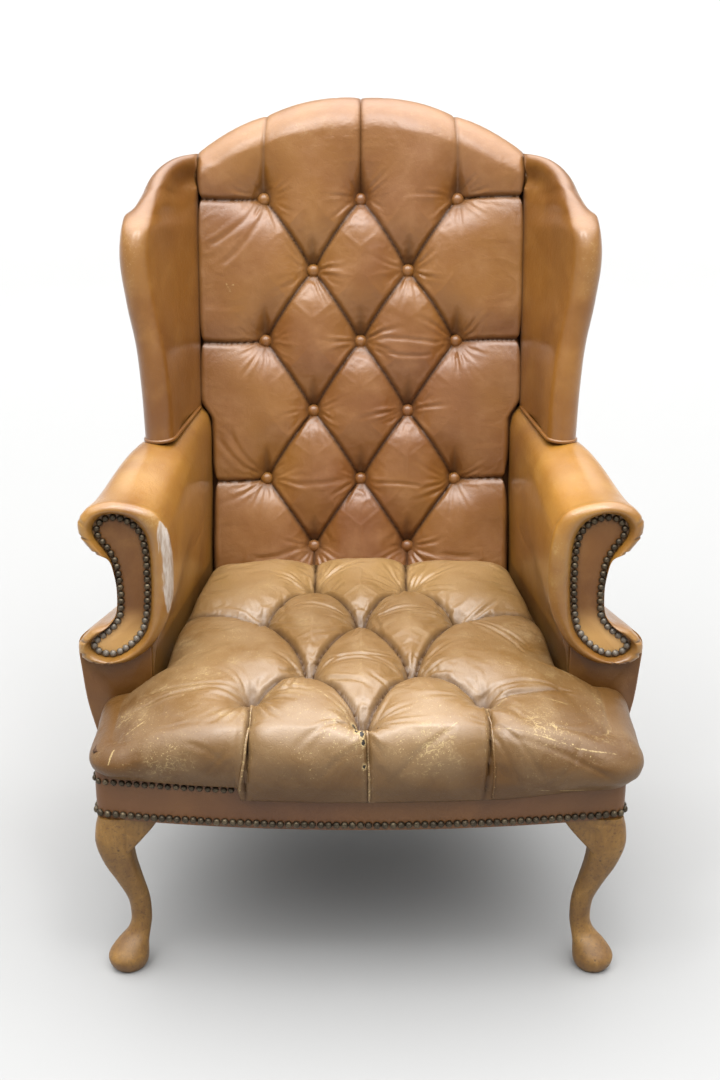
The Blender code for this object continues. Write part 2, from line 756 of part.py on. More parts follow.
SEAT_PIT, SEAT_MID = 0.030, 0.013
HEM_Z = 0.2972
SEAT_BASE_Z = DECK_TOP + GAP
T_END = -0.2080           # the seat is T-shaped: its front corners end here, in front of the arms
SEAT_REAR_Y = 0.155
SEAT_ROWS_COUNT = 27


def seat_half_width(y):
    between_arms = lerp(0.2840, 0.2400, (y + 0.195) / 0.350)
    return lerp(0.3380, between_arms, smooth((y - T_END) / 0.014))


def seat_plan(s, t):
    """Plan of the seat's flat top inside the rolled border."""
    side = 2 * s - 1
    front = -0.3800 + FRONT_BOW * (side * 0.338 / RAIL_HALF) ** 2
    k = t * SEAT_ROWS_COUNT
    if k <= 8:
        y = lerp(front, T_END - 0.007, k / 8)
    elif k <= 9:
        y = lerp(T_END - 0.007, T_END, k - 8)
    elif k <= 10:
        y = lerp(T_END, T_END + 0.014, k - 9)
    else:
        y = lerp(T_END + 0.014, SEAT_REAR_Y, (k - 10) / (SEAT_ROWS_COUNT - 10))
    return (side * seat_half_width(y), y)


def seat_crown(x, y):
    across = abs(x) / 0.338
    crown = lerp(0.4330, 0.4400, smooth((y + 0.25) / 0.35))
    crown -= 0.012 * smooth((-0.25 - y) / 0.13)
    return crown - 0.040 * across**3.2


def build_seat_pad():
    buttons, pleats = seat_buttons(), seat_pleats()
    columns, rows = 28, SEAT_ROWS_COUNT

    def depth(point):
        return pleat_depth(point, buttons, pleats, 0.046, SEAT_MID, SEAT_PIT)

    def place(s, t):
        x, y = seat_plan(s, t)
        return (x, y, seat_crown(x, y) - depth(Vector((x, y))))

    bm = grid(columns, rows, place)
    loop = ordered_loop(bm)
    rim = [v.co.copy() for v in loop]
    count = len(rim)
    area = sum(rim[k - 1].x * rim[k].y - rim[k].x * rim[k - 1].y for k in range(count))
    outward = []
    for k in range(count):
        along = (rim[(k + 1) % count] - rim[k - 1]) * math.copysign(1.0, area)
        outward.append(Vector((along.y, -along.x, 0)).normalized())
    free = [p.y < T_END - 0.005 for p in rim]

    def step(k, out, drop, level):
        """Rim point k moved out and down: rolled where it hangs free, straight where it is tucked in."""
        p, n = rim[k], outward[k]
        if free[k]:
            fuller = lerp(out[0], out[1], abs(n.x)) * (1.3 if min(abs(n.x), abs(n.y)) > 0.3 else 1.0)
            return p + n * fuller + Vector((0, 0, max(-drop, HEM_Z + 0.010 * (5 - level) - p.z)))
        swell = 0.0018
        if p.y < T_END + 0.010:
            swell = 0.0125 if p.y < T_END + 0.002 else 0.006
        moved = p + n * swell * min(1.0, level / 2)
        return Vector((moved.x, moved.y, lerp(p.z - 0.004, SEAT_BASE_Z + 0.006, (level - 1) / 4)))

    fronts, sides = (0.016, 0.029, 0.036, 0.033, 0.022), (0.016, 0.029, 0.037, 0.036, 0.031)
    rings = list(zip(zip(fronts, sides), (0.008, 0.030, 0.062, 0.095, 0.200)))
    for level, (out, drop) in enumerate(rings, start=1):
        loop = next_ring(bm, loop, [step(k, out, drop, level) for k in range(count)])
    hem = [rail_foot(rim[k], outward[k]) if free[k] else step(k, 0, 0, 5) for k in range(count)]
    low = [Vector((p.x, p.y, HEM_Z if free[k] else SEAT_BASE_Z + 0.003)) for k, p in enumerate(hem)]
    loop = next_ring(bm, loop, low)
    loop = next_ring(bm, loop, [Vector((p.x, p.y, SEAT_BASE_Z)) for p in hem])
    bm.faces.new(loop)
    tree = BVHTree.FromBMesh(bm)
    pad = add_object("seat_pad", bm, "seat_leather")
    helpers = helper_collection("seat buttons")
    places = [(Vector((b.x, b.y, 0.60)), Vector((0, 0, 1))) for b in buttons]
    button_domes("seat", tree, places, 0.0095, helpers)
    union(pad, helpers)


def rail_foot(point, direction):
    """Where a line drawn outwards from a point meets the seat rails' outer face."""
    if min(abs(direction.x), -direction.y) > 0.3:
        return Vector((math.copysign(RAIL_HALF + 2 * GAP, point.x), front_face_y(RAIL_HALF) - 2 * GAP, point.z))
    near, far = 0.0, 0.08
    for _ in range(30):
        middle = (near + far) / 2
        x, y = abs(point.x + direction.x * middle), point.y + direction.y * middle
        inside = x < side_rail_x(y) + 2 * GAP and y > front_face_y(x) - 2 * GAP
        near, far = (middle, far) if inside else (near, middle)
    return point + direction * near


def ordered_loop(bm):
    """Vertices of the sheet's open edge, in order."""
    edge = next(e for e in bm.edges if e.is_boundary)
    loop = [edge.verts[0]]
    here = edge.verts[1]
    while here is not loop[0]:
        loop.append(here)
        edge = next(e for e in here.link_edges if e.is_boundary and e is not edge)
        here = edge.other_vert(here)
    return loop


def next_ring(bm, loop, points):
    made = [bm.verts.new(p) for p in points]
    for k in range(len(loop)):
        n = (k + 1) % len(loop)
        bm.faces.new((loop[k], loop[n], made[n], made[k]))
    return made


# Arms


def section_point(front, rear, u, y, rear_y):
    """A point of an arm cover's cross-section at depth y. Its height settles before its width does."""
    share = (y - ARM_COVER_Y) / (rear_y - ARM_COVER_Y)
    a, b = spline(front, u, False), spline(rear, u, False)
    return Vector((lerp(a.x, b.x, share), lerp(a.y, b.y, smooth((y - ARM_COVER_Y) / 0.21))))


def arm_cover(front, rear, thickness, end_depth, stations):
    """A padded strip that follows the arm's section, with its inner face offset into the arm.

    Its rear end stops at the leaning back: end_depth(u) behind the inside back's surface.
    """
    ys = [ARM_COVER_Y, -0.120, -0.050, 0.020, 0.120, None]
    last = len(front) - 1

    def surface(u, k):
        at = section_point(front, rear, u, 0.20 if ys[k] is None else ys[k], 0.20)
        y = back_y(at.y) + end_depth(u) if ys[k] is None else ys[k]
        return Vector((at.x, y, at.y))

    def place(around, along):
        k = round(around * 12) % 12
        u = along * last
        if k < 6:
            return surface(u, k)
        k = 11 - k
        here = surface(u, k)
        step = 0.02
        run = surface(min(u + step, last), k) - surface(max(u - step, 0), k)
        inward = Vector((run.z, 0, -run.x)).normalized()
        inner = here + inward * thickness
        if ys[k] is None:
            inner.y = back_y(inner.z) + end_depth(u)
        return inner

    return tube(stations, 12, place)


def arm_roll():
    """The padded roll round the arm's front, from the outline in to the line of nails."""
    back, seat, bulge = ARM_ROLL_Y
    outer_line = [pair[0] for pair in ARM_LOOP]
    nail_line = [pair[1] for pair in ARM_LOOP]
    count = len(ARM_LOOP)

    def place(around, k):
        u = around * count
        outline = spline(outer_line, u, True)
        nail, outward = loop_frame(nail_line, u)
        edge = nail + outward * 0.0054
        room = (outline - edge).length
        lift = bulge * min(1.0, room / 0.012)
        shares = [(outline, back), (outline, seat + 0.35 * lift), (edge.lerp(outline, 0.72), seat + 0.90 * lift),
                  (edge.lerp(outline, 0.40), seat + 0.98 * lift), (edge.lerp(outline, 0.12), seat + 0.50 * lift),
                  (edge, seat), (nail, seat), (nail, back)]
        point, y = shares[k]
        return (point.x, y, point.y)

    return ring(44, 8, place)


def loop_frame(line, u):
    """Point and outward direction of a closed line at station u."""
    here = spline(line, u, True)
    run = spline(line, u + 0.02, True) - spline(line, u - 0.02, True)
    return here, Vector((-run.y, run.x)).normalized()


def arm_facing():
    """The flat leather panel inside the nails."""
    nail_line = [pair[1] for pair in ARM_LOOP]
    bm = bmesh.new()
    points = []
    for k in range(44):
        here, outward = loop_frame(nail_line, k / 2)
        inset = here - outward * (2 * GAP)
        points.append((inset.x, ARM_ROLL_Y[1], inset.y))
    face = bm.faces.new([bm.verts.new(p) for p in points])
    made = bmesh.ops.extrude_face_region(bm, geom=[face])
    bmesh.ops.translate(bm, vec=(0, 0.008, 0), verts=[v for v in made["geom"] if isinstance(v, bmesh.types.BMVert)])
    return bm


def arc_stations(line, pitch):
    """Stations of a closed line spaced evenly by length, a whole number of pitches round."""
    count = len(line)
    fine = [spline(line, k / 20, True) for k in range(20 * count + 1)]
    lengths = [0.0]
    for a, b in zip(fine, fine[1:]):
        lengths.append(lengths[-1] + (b - a).length)
    beads = round(lengths[-1] / pitch)
    stations = []
    k = 0
    for i in range(2 * beads):
        goal = lengths[-1] * i / (2 * beads)
        while lengths[k + 1] < goal:
            k += 1
        share = (goal - lengths[k]) / (lengths[k + 1] - lengths[k])
        stations.append((k + share) / 20)
    return stations


BEAD = [(0.0047, 0.0), (0.0030, 0.0029), (-0.0030, 0.0029), (-0.0047, 0.0)]
NECK = [(0.0030, 0.0), (0.0015, 0.0007), (-0.0015, 0.0007), (-0.0030, 0.0)]


def arm_nails():
    """A closed row of nail heads, drawn as one beaded strip."""
    nail_line = [pair[1] for pair in ARM_LOOP]
    stations = arc_stations(nail_line, ARM_NAIL_PITCH)

    def place(around, k):
        i = round(around * len(stations))
        here, outward = loop_frame(nail_line, stations[i])
        across, lift = (BEAD if i % 2 == 0 else NECK)[k]
        point = here + outward * across
        return (point.x, ARM_ROLL_Y[1] - GAP - lift, point.y)

    return ring(len(stations), 4, place)


def bead_row(path, pitch):
    """A beaded strip along an open path of (point, outward, upward) frames."""
    lengths = [0.0]
    for a, b in zip(path, path[1:]):
        lengths.append(lengths[-1] + (b[0] - a[0]).length)
    beads = int(lengths[-1] / pitch)
    rings = 2 * beads + 1
    start = (lengths[-1] - beads * pitch) / 2

    def place(around, along):
        i = round(along * (rings - 1))
        goal = start + i * pitch / 2
        k = max(n for n, length in enumerate(lengths[:-1]) if length <= goal)
        share = (goal - lengths[k]) / (lengths[k + 1] - lengths[k])
        point, outward, upward = (path[k][j].lerp(path[k + 1][j], share) for j in range(3))
        across, lift = (BEAD if i % 2 == 1 else NECK)[round(around * 4)]
        return point + upward * across + outward.normalized() * lift

    return tube(rings, 4, place)


def build_arms():
    def inside_end(u):
        """The inside cover stops at the back post, and runs past it where it turns over to the outside."""
        return PAD_THICK + POST_DEPTH if u > 10.9 else PAD_THICK - 2 * GAP

    def outside_end(u):
        return PAD_THICK + POST_DEPTH

    add_pair("inside_arm", lambda: arm_cover(INSIDE_ARM_FRONT, INSIDE_ARM_REAR, 0.014, inside_end, 26), "leather")
    add_pair("outside_arm", lambda: arm_cover(OUTSIDE_ARM_FRONT, OUTSIDE_ARM_REAR, 0.005, outside_end, 13), "leather")
    add_pair("arm_roll", arm_roll, "leather")
    add_pair("arm_facing", arm_facing, "leather")
    add_pair("arm_nails", arm_nails, "nail_brass")
    add_pair("arm_base_panel", arm_base_panel, "leather")


def arm_base_panel():
    """The flat front below the lower scroll, down behind the seat's corner."""
    outer_line = [pair[0] for pair in ARM_LOOP]
    under = [loop_frame(outer_line, u) for u in (20.6, 20.8, 21.0, 21.5, 22.0, 22.5, 23.0, 23.5, 24.0)]
    below = [here + outward * 4 * GAP for here, outward in under]
    outline = [(0.3000, 0.3500), (0.3970, 0.3500)] + [(p.x, p.y) for p in below]
    bm = bmesh.new()
    face = bm.faces.new([bm.verts.new((x, ARM_COVER_Y - 0.0040 - GAP, z)) for x, z in outline])
    made = bmesh.ops.extrude_face_region(bm, geom=[face])
    bmesh.ops.translate(bm, vec=(0, 0.0040, 0), verts=[v for v in made["geom"] if isinstance(v, bmesh.types.BMVert)])
    return bm


# Wings


def wing_ray(w):
    """Root, centre of the roll, outward normal, inward end's direction and distance at station w."""
    edge = spline(WING_EDGE, w, False)
    rise = min(max((w - 4.5) / 5.5, 0.0), 1.0)
    root_z = edge.z if w <= 4.5 else lerp(spline(WING_EDGE, 4.5, False).z, WING_ROOT_TOP, smooth(rise))
    root = Vector((WING_ROOT_X, back_y(root_z), root_z))
    up = smooth((w - 4.0) / 5.0)
    lean = Vector((1.0 - up, 0.0, up))
    centre = edge - lean.normalized() * WING_ROLL
    centre.x = max(centre.x, WING_ROOT_X)
    along = (centre - root).normalized()
    tangent = spline(WING_EDGE, w + 0.05, False) - spline(WING_EDGE, w - 0.05, False)
    outward = tangent.cross(along).normalized()
    if outward.x + outward.y < 0:
        outward = -outward
    outward = (outward - along * outward.dot(along)).normalized()
    inner_end = centre - outward * WING_ROLL
    inner_end.x = max(inner_end.x, WING_ROOT_X)
    return root, centre, outward, (inner_end - root).normalized(), (inner_end - root).length


def wing():
    """A padded wing: flat inside, a thick roll round its edge, and a plain outside."""
    last = len(WING_EDGE) - 1

    def place(around, along):
        k = round(around * 15)
        w = along * last
        root, centre, outward, direction, length = wing_ray(w)
        if k < 4:
            hollow = 0.004 * math.sin(math.pi * k / 4)
            point = root + direction * (length * k / 4) + outward * hollow
            return Vector((max(point.x, WING_ROOT_X), point.y, point.z))
        if k < 11:
            angle = math.pi * (k - 4) / 6
            point = centre - outward * (WING_ROLL * math.cos(angle)) + direction * (WING_ROLL * math.sin(angle))
            return Vector((max(point.x, WING_ROOT_X), point.y, point.z))
        top = spline(WING_EDGE, w, False).z
        z = lerp(root.z, top - 0.012, smooth((w - 4.5) / 5))
        behind = back_y(z) + PAD_THICK
        heel = Vector((WING_REAR_X - 0.004, behind + POST_DEPTH, z))
        rear = [
            centre.lerp(heel, 0.45) + outward * WING_ROLL * 0.60,
            heel,
            Vector((POST_X[1] + GAP, behind + POST_DEPTH, z)),
            Vector((POST_X[1] + GAP, behind - GAP, z)),
        ]
        return rear[k - 11]

    return tube(27, 15, place)


def build_wings():
    add_pair("wing", wing, "leather")


# Band and nails of the seat frame


def build_band():
    outer, inner = rail_path(0.0033), rail_path(GAP)
    add_object("front_band", slab(outer + inner[::-1], RAIL_Z[0], BAND_TOP), "leather")
    centre = rail_path(0.0042)
    frames = []
    for k, (x, y) in enumerate(centre):
        before, after = centre[max(k - 1, 0)], centre[min(k + 1, len(centre) - 1)]
        run = Vector((after[0] - before[0], after[1] - before[1]))
        outward = Vector((run.y, -run.x, 0)).normalized()
        frames.append((Vector((x, y, 0.2530)), outward, Vector((0, 0, -1))))
    add_object("front_nails", bead_row(frames, NAIL_PITCH), "nail_brass")


CHAIR = HELPERS = MATERIALS = None


def main():
    global CHAIR, HELPERS, MATERIALS
    clear_scene()
    CHAIR = new_collection("wing_chair")
    HELPERS = new_collection("helpers")
    HELPERS.hide_render = True
    MATERIALS = make_materials()
    build_seat_frame()
    build_back_frame()
    build_arm_frame()
    build_legs()
    build_suspension()
    build_linings()
    build_back_pad()
    build_seat_pad()
    build_arms()
    build_wings()
    build_band()


main()
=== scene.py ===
"""Dresses the wing chair's solids: tufted leather covers, welts, nails and shaped wood.

The covers follow the plan of the solids, more finely, and are drawn in at their buttons and pleats.
The seat and the back are then settled as cloth. Metres, +Z up, the front faces -Y. Shapes are drawn
for the right (+X), and finish_piece mirrors them for the left and moves them to the chair's frame.
"""

import math
import random

import bmesh
import bpy
import numpy as np
from mathutils import Matrix, Vector


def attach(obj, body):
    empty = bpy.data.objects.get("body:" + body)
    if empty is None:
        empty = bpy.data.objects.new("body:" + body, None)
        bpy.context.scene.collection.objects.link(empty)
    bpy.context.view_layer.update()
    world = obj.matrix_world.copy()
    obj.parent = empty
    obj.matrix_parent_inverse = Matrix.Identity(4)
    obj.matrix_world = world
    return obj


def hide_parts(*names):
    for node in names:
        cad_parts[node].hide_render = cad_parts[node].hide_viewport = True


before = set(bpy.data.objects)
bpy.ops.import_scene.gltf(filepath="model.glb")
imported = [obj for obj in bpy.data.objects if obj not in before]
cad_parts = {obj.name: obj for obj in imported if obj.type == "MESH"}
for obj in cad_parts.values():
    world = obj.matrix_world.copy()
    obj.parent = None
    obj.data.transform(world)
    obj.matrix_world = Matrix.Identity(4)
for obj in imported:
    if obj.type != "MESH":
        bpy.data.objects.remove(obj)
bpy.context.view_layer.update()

bl_info = {
    "name": "Wing chair upholstery",
    "version": (1, 0, 0),
    "blender": (4, 5, 0),
    "location": "3D View > Sidebar > Wing chair",
    "description": "Covers the frame of a button-tufted wing chair in worn leather",
    "category": "Object",
}

# The chair's plan, as in its solids
CENTRE_Y = 0.0100
RAIL_Z = (0.246, 0.340)
FRONT_Y = -0.383
FRONT_BOW = 0.032
RAIL_HALF = 0.357
SIDE_RAIL = ((-0.330, 0.357), (0.220, 0.287))
FRONT_BACK_Y = -0.325
LEAN = 0.1725
BACK_FOOT = (0.164, 0.413)
PAD_THICK = 0.071
POST_DEPTH = 0.040
POST_OUTER_X = 0.275
CREST_TOP = 1.105
CREST_RADIUS = 0.410
BAND_TOP = 0.2965
HEM_Z = 0.2972
HEM_NAIL_END_X = -0.168
OUTSIDE_BACK_HALF = 0.291
CREST_END_Z = 0.985
GAP = 0.0003

# The arm's front, seen from in front: (x, z) of the outline, then of the nail line inside it
ARM_LOOP = [
    ((0.3654, 0.4040), (0.3530, 0.4181)),
    ((0.3324, 0.4072), (0.3300, 0.4306)),
    ((0.3000, 0.4290), (0.3117, 0.4507)),
    ((0.2770, 0.4646), (0.3033, 0.4753)),
    ((0.2655, 0.5027), (0.3003, 0.5060)),
    ((0.2625, 0.5479), (0.2991, 0.5400)),
    ((0.2640, 0.5800), (0.3000, 0.5720)),
    ((0.2700, 0.6090), (0.3045, 0.5970)),
    ((0.2899, 0.6340), (0.3171, 0.6144)),
    ((0.3373, 0.6464), (0.3359, 0.6232)),
    ((0.3720, 0.6392), (0.3552, 0.6210)),
    ((0.3896, 0.6197), (0.3660, 0.6080)),
    ((0.3883, 0.5980), (0.3637, 0.5954)),
    ((0.3745, 0.5777), (0.3533, 0.5801)),
    ((0.3539, 0.5643), (0.3437, 0.5628)),
    ((0.3455, 0.5449), (0.3392, 0.5400)),
    ((0.3430, 0.5103), (0.3371, 0.5103)),
    ((0.3462, 0.4790), (0.3395, 0.4790)),
    ((0.3597, 0.4640), (0.3494, 0.4600)),
    ((0.3835, 0.4540), (0.3658, 0.4461)),
    ((0.4010, 0.4320), (0.3787, 0.4337)),
    ((0.3920, 0.4100), (0.3733, 0.4228)),
]
OUTLINE = [pair[0] for pair in ARM_LOOP]
NAIL_LINE = [pair[1] for pair in ARM_LOOP]
ARM_COVER_Y = -0.1847
ARM_SETTLED_Y = 0.20
ARM_ROLL_BACK_Y, ARM_ROLL_SEAT_Y, ARM_ROLL_BULGE = -0.1848, -0.1930, -0.0140

# Sections (x, z) of the inside and outside arm, at the front and at the back
INSIDE_ARM_FRONT = [(0.2990, 0.3470), (0.2960, 0.4000), (0.2885, 0.4400), (0.2770, 0.4646), (0.2655, 0.5027),
                    (0.2625, 0.5479), (0.2640, 0.5800), (0.2700, 0.6090), (0.2899, 0.6340), (0.3373, 0.6464),
                    (0.3720, 0.6392), (0.3896, 0.6197), (0.3883, 0.5980), (0.3745, 0.5777), (0.3539, 0.5643),
                    (0.3457, 0.5470)]
INSIDE_ARM_REAR = [(0.2435, 0.3470), (0.2435, 0.4000), (0.2435, 0.4500), (0.2435, 0.5000), (0.2435, 0.5400),
                   (0.2435, 0.5800), (0.2435, 0.6150), (0.2445, 0.6420), (0.2500, 0.6620), (0.2640, 0.6735),
                   (0.2800, 0.6720), (0.2915, 0.6600), (0.2960, 0.6400), (0.2965, 0.6200), (0.2965, 0.6000),
                   (0.2965, 0.5800)]
OUTSIDE_ARM_FRONT = [(0.3442, 0.5405), (0.3425, 0.5103), (0.3460, 0.4790), (0.3597, 0.4640), (0.3835, 0.4540),
                     (0.4000, 0.4400), (0.4040, 0.4220), (0.4015, 0.3900), (0.3960, 0.3400), (0.3850, 0.2900),
                     (0.3730, 0.2463)]
OUTSIDE_ARM_REAR = [(0.2965, 0.5715), (0.2965, 0.5400), (0.2965, 0.5000), (0.2965, 0.4700), (0.2965, 0.4400),
                    (0.2965, 0.4200), (0.2965, 0.4000), (0.2965, 0.3700), (0.2960, 0.3300), (0.2950, 0.2900),
                    (0.2930, 0.2463)]

# The wing's outer edge (x, y, z), from the arm to the top of the back
WING_EDGE = [(0.3243, 0.020, 0.6765), (0.3288, 0.030, 0.7614), (0.3373, 0.042, 0.8252), (0.3472, 0.050, 0.8768),
             (0.3532, 0.055, 0.9285), (0.3535, 0.062, 0.9642), (0.3491, 0.075, 0.9918), (0.3400, 0.100, 1.0120),
             (0.3270, 0.135, 1.0260), (0.3180, 0.175, 1.0400), (0.3080, 0.215, 1.0570), (0.2900, 0.252, 1.0660),
             (0.2585, 0.292, 1.0650)]
WING_ROOT_TOP = 1.012
WING_ROOT_X = 0.259
WING_REAR_X = 0.300
WING_HEEL_TOP = 0.989
WING_ROLL = 0.023

# Buttons of the inside back, by column and row, and of the seat (x, y) from rear to front
COLUMN = 0.155
ROW = 0.1115
BACK_TOP_ROW = 1.000
SEAT_ROWS = [[(-0.073, 0.054), (0.073, 0.054)], [(-0.147, -0.064), (0.0, -0.074), (0.147, -0.062)],
             [(-0.072, -0.246), (0.072, -0.246)], [(-0.149, -0.308), (0.004, -0.370), (0.168, -0.308)]]
BACK_BOTTOM_Z = 0.392
BACK_TOP_Z = 1.150
BACK_ROLL_HEIGHT = 0.045
BACK_FRONT_SHARE = 0.80
BACK_WIDENING = (0.650, 0.690)
T_END = -0.2080
T_HALF = 0.338
T_CORNER = 0.034
SEAT_REAR_Y = 0.155
SEAT_BASE_Z = 0.3457

# Creases: for the back a row of buttons, then the start and the end as x and height over that row, and
# how far the crease bows; for the seat the start and the end (x, y) and the bow
BACK_CREASES = [
    (2, 0.015, 0.006, 0.135, -0.004, 0.004), (2, 0.020, -0.012, 0.120, -0.020, -0.005),
    (4, 0.018, -0.006, 0.105, -0.010, 0.004), (0, -0.160, -0.010, -0.245, -0.075, 0.004),
    (0, -0.150, -0.015, -0.225, -0.105, 0.006), (4, -0.020, 0.002, -0.110, -0.004, 0.003),
    (5, 0.090, 0.004, 0.190, -0.012, -0.006), (5, -0.095, 0.004, -0.180, -0.016, 0.006),
    (4, -0.175, 0.010, -0.235, 0.075, 0.006), (4, -0.170, 0.018, -0.215, 0.085, 0.006),
]
SEAT_CREASES = [
    ((0.190, -0.395), (0.345, -0.420), 0.002), ((0.175, -0.375), (0.250, -0.455), 0.006),
    ((0.165, -0.385), (0.225, -0.480), 0.004), ((0.290, -0.385), (0.235, -0.480), 0.008),
    ((0.040, -0.475), (0.120, -0.395), 0.006), ((-0.175, -0.420), (-0.270, -0.480), 0.006),
    ((-0.180, -0.440), (-0.235, -0.400), -0.006), ((-0.050, -0.460), (-0.004, -0.425), 0.004),
    ((-0.150, -0.290), (-0.300, -0.262), 0.006), ((-0.165, -0.300), (-0.320, -0.290), -0.004),
    ((0.150, -0.300), (0.300, -0.262), 0.010), ((0.020, -0.060), (0.028, -0.140), 0.003),
    ((-0.055, -0.235), (0.050, -0.245), 0.008), ((-0.045, -0.215), (0.055, -0.210), -0.006),
    ((-0.060, -0.270), (0.010, -0.300), 0.005), ((0.010, -0.270), (0.060, -0.300), -0.005),
    ((-0.110, -0.060), (-0.120, 0.020), 0.004), ((0.120, -0.060), (0.110, 0.020), -0.004),
    ((0.150, -0.080), (0.240, -0.160), 0.008), ((0.160, -0.100), (0.235, -0.190), 0.010),
]

# Small tears (place, size) and rubbed lines (start, end, width) in the flat plans of the seat and the back
SEAT_TEARS = [
    ((-0.0110, -0.3700), 0.0036), ((-0.0070, -0.3790), 0.0036), ((-0.0020, -0.3860), 0.0034),
    ((-0.0065, -0.3960), 0.0032), ((0.0010, -0.4050), 0.0030), ((0.0030, -0.4180), 0.0026),
    ((0.0045, -0.4520), 0.0020),
]
SEAT_SCRATCHES = [
    ((-0.146, -0.318), (-0.118, -0.300), 0.0016), ((-0.118, -0.300), (-0.070, -0.306), 0.0013),
    ((-0.070, -0.306), (-0.022, -0.352), 0.0015), ((-0.022, -0.352), (-0.004, -0.376), 0.0022),
    ((0.182, -0.384), (0.225, -0.387), 0.0013), ((0.225, -0.387), (0.285, -0.392), 0.0013),
    ((0.285, -0.392), (0.345, -0.382), 0.0015), ((0.176, -0.318), (0.215, -0.300), 0.0014),
    ((0.215, -0.300), (0.290, -0.302), 0.0012), ((0.060, -0.440), (0.128, -0.385), 0.0012),
    ((-0.328, -0.366), (-0.336, -0.385), 0.0018), ((-0.332, -0.345), (-0.290, -0.330), 0.0014),
    ((0.245, -0.470), (0.330, -0.455), 0.0016),
]
BACK_SCARS = [
    ((-0.2150, 0.8680), (-0.2085, 0.8560), 0.0024), ((-0.2135, 0.8630), (-0.2040, 0.8665), 0.0020),
]

CAMERA_PLACE = (-0.001, -2.0984, 1.2871)
CAMERA_TILT = math.radians(70.0)
CAMERA_LENS = 48.93

RIGHT, LEFT = 1, -1
SIDES = ((LEFT, "left"), (RIGHT, "right"))


# Curves and fields


def lerp(a, b, t):
    return a + (b - a) * t


def smooth(t):
    t = np.clip(t, 0.0, 1.0)
    return t * t * (3 - 2 * t)


def bell(distance, width):
    return np.exp(-((distance / width) ** 2))


def back_y(z):
    """Depth of the inside back's surface at a height."""
    return BACK_FOOT[0] + LEAN * (z - BACK_FOOT[1])


def side_rail_x(y):
    (y0, x0), (y1, x1) = SIDE_RAIL
    return lerp(x0, x1, (y - y0) / (y1 - y0))


def front_face_y(x):
    return FRONT_Y + FRONT_BOW * (x / RAIL_HALF) ** 2


def crest_z(x, top):
    """Height of the arched top at x."""
    return top - CREST_RADIUS + np.sqrt(CREST_RADIUS**2 - x * x)


def spline(points, u, closed=False):
    """Catmull-Rom curve through the points at the stations u."""
    points = np.asarray(points, float)
    u = np.asarray(u, float)
    count = len(points)
    i = np.floor(u).astype(int)
    if not closed:
        i = np.clip(i, 0, count - 2)
    t = (u - i)[..., None]

    def at(k):
        return points[k % count] if closed else points[np.clip(k, 0, count - 1)]

    a, b, c, d = at(i - 1), at(i), at(i + 1), at(i + 2)
    return 0.5 * (2 * b + (c - a) * t + (2 * a - 5 * b + 4 * c - d) * t**2 + (3 * b - a - 3 * c + d) * t**3)


def arc_lengths(points):
    """Length along a path at each of its points."""
    return np.concatenate([[0], np.cumsum(np.linalg.norm(np.diff(points, axis=0), axis=1))])


def nearest(u, v, x, y):
    """Index of the grid point that lies closest to (x, y) in the flat plan."""
    return np.unravel_index(np.argmin(np.hypot(u - x, v - y)), u.shape)


def button_distance(u, v, buttons):
    """Distance of each point from the closest button."""
    return np.min([np.hypot(u - x, v - y) for x, y in buttons], axis=0)


def loop_frame(line, u):
    """Point and outward direction of a closed line at the stations u."""
    here = spline(line, u, True)
    run = spline(line, np.asarray(u) + 0.02, True) - spline(line, np.asarray(u) - 0.02, True)
    outward = np.stack([-run[..., 1], run[..., 0]], axis=-1)
    return here, outward / np.linalg.norm(outward, axis=-1, keepdims=True)


def even_stations(line, count):
    """Stations of a closed line, evenly spaced by length."""
    fine = np.arange(0, len(line) + 1e-9, 0.02)
    lengths = arc_lengths(spline(line, fine, True))
    return np.interp(np.linspace(0, lengths[-1], count, endpoint=False), lengths, fine), lengths[-1]


def line_distance(u, v, line):
    """Distance of the points (u, v) from a line of a few points, and which side they lie on."""
    best = np.full(u.shape, 9.0)
    side = np.zeros(u.shape)
    for (ax, ay), (bx, by) in zip(line, line[1:]):
        dx, dy = bx - ax, by - ay
        t = np.clip(((u - ax) * dx + (v - ay) * dy) / (dx * dx + dy * dy), 0, 1)
        ex, ey = u - ax - dx * t, v - ay - dy * t
        gap = np.hypot(ex, ey)
        nearer = gap < best
        best = np.where(nearer, gap, best)
        side = np.where(nearer, ey, side)
    return best, side


def bowed(start, end, bow, steps=5):
    """A pleat's line from start to end, bowed sideways."""
    run = np.array(end) - np.array(start)
    across = np.array([-run[1], run[0]]) / np.linalg.norm(run)
    shares = np.linspace(0, 1, steps)
    return [tuple(np.array(start) + run * t + across * bow * 4 * t * (1 - t)) for t in shares]


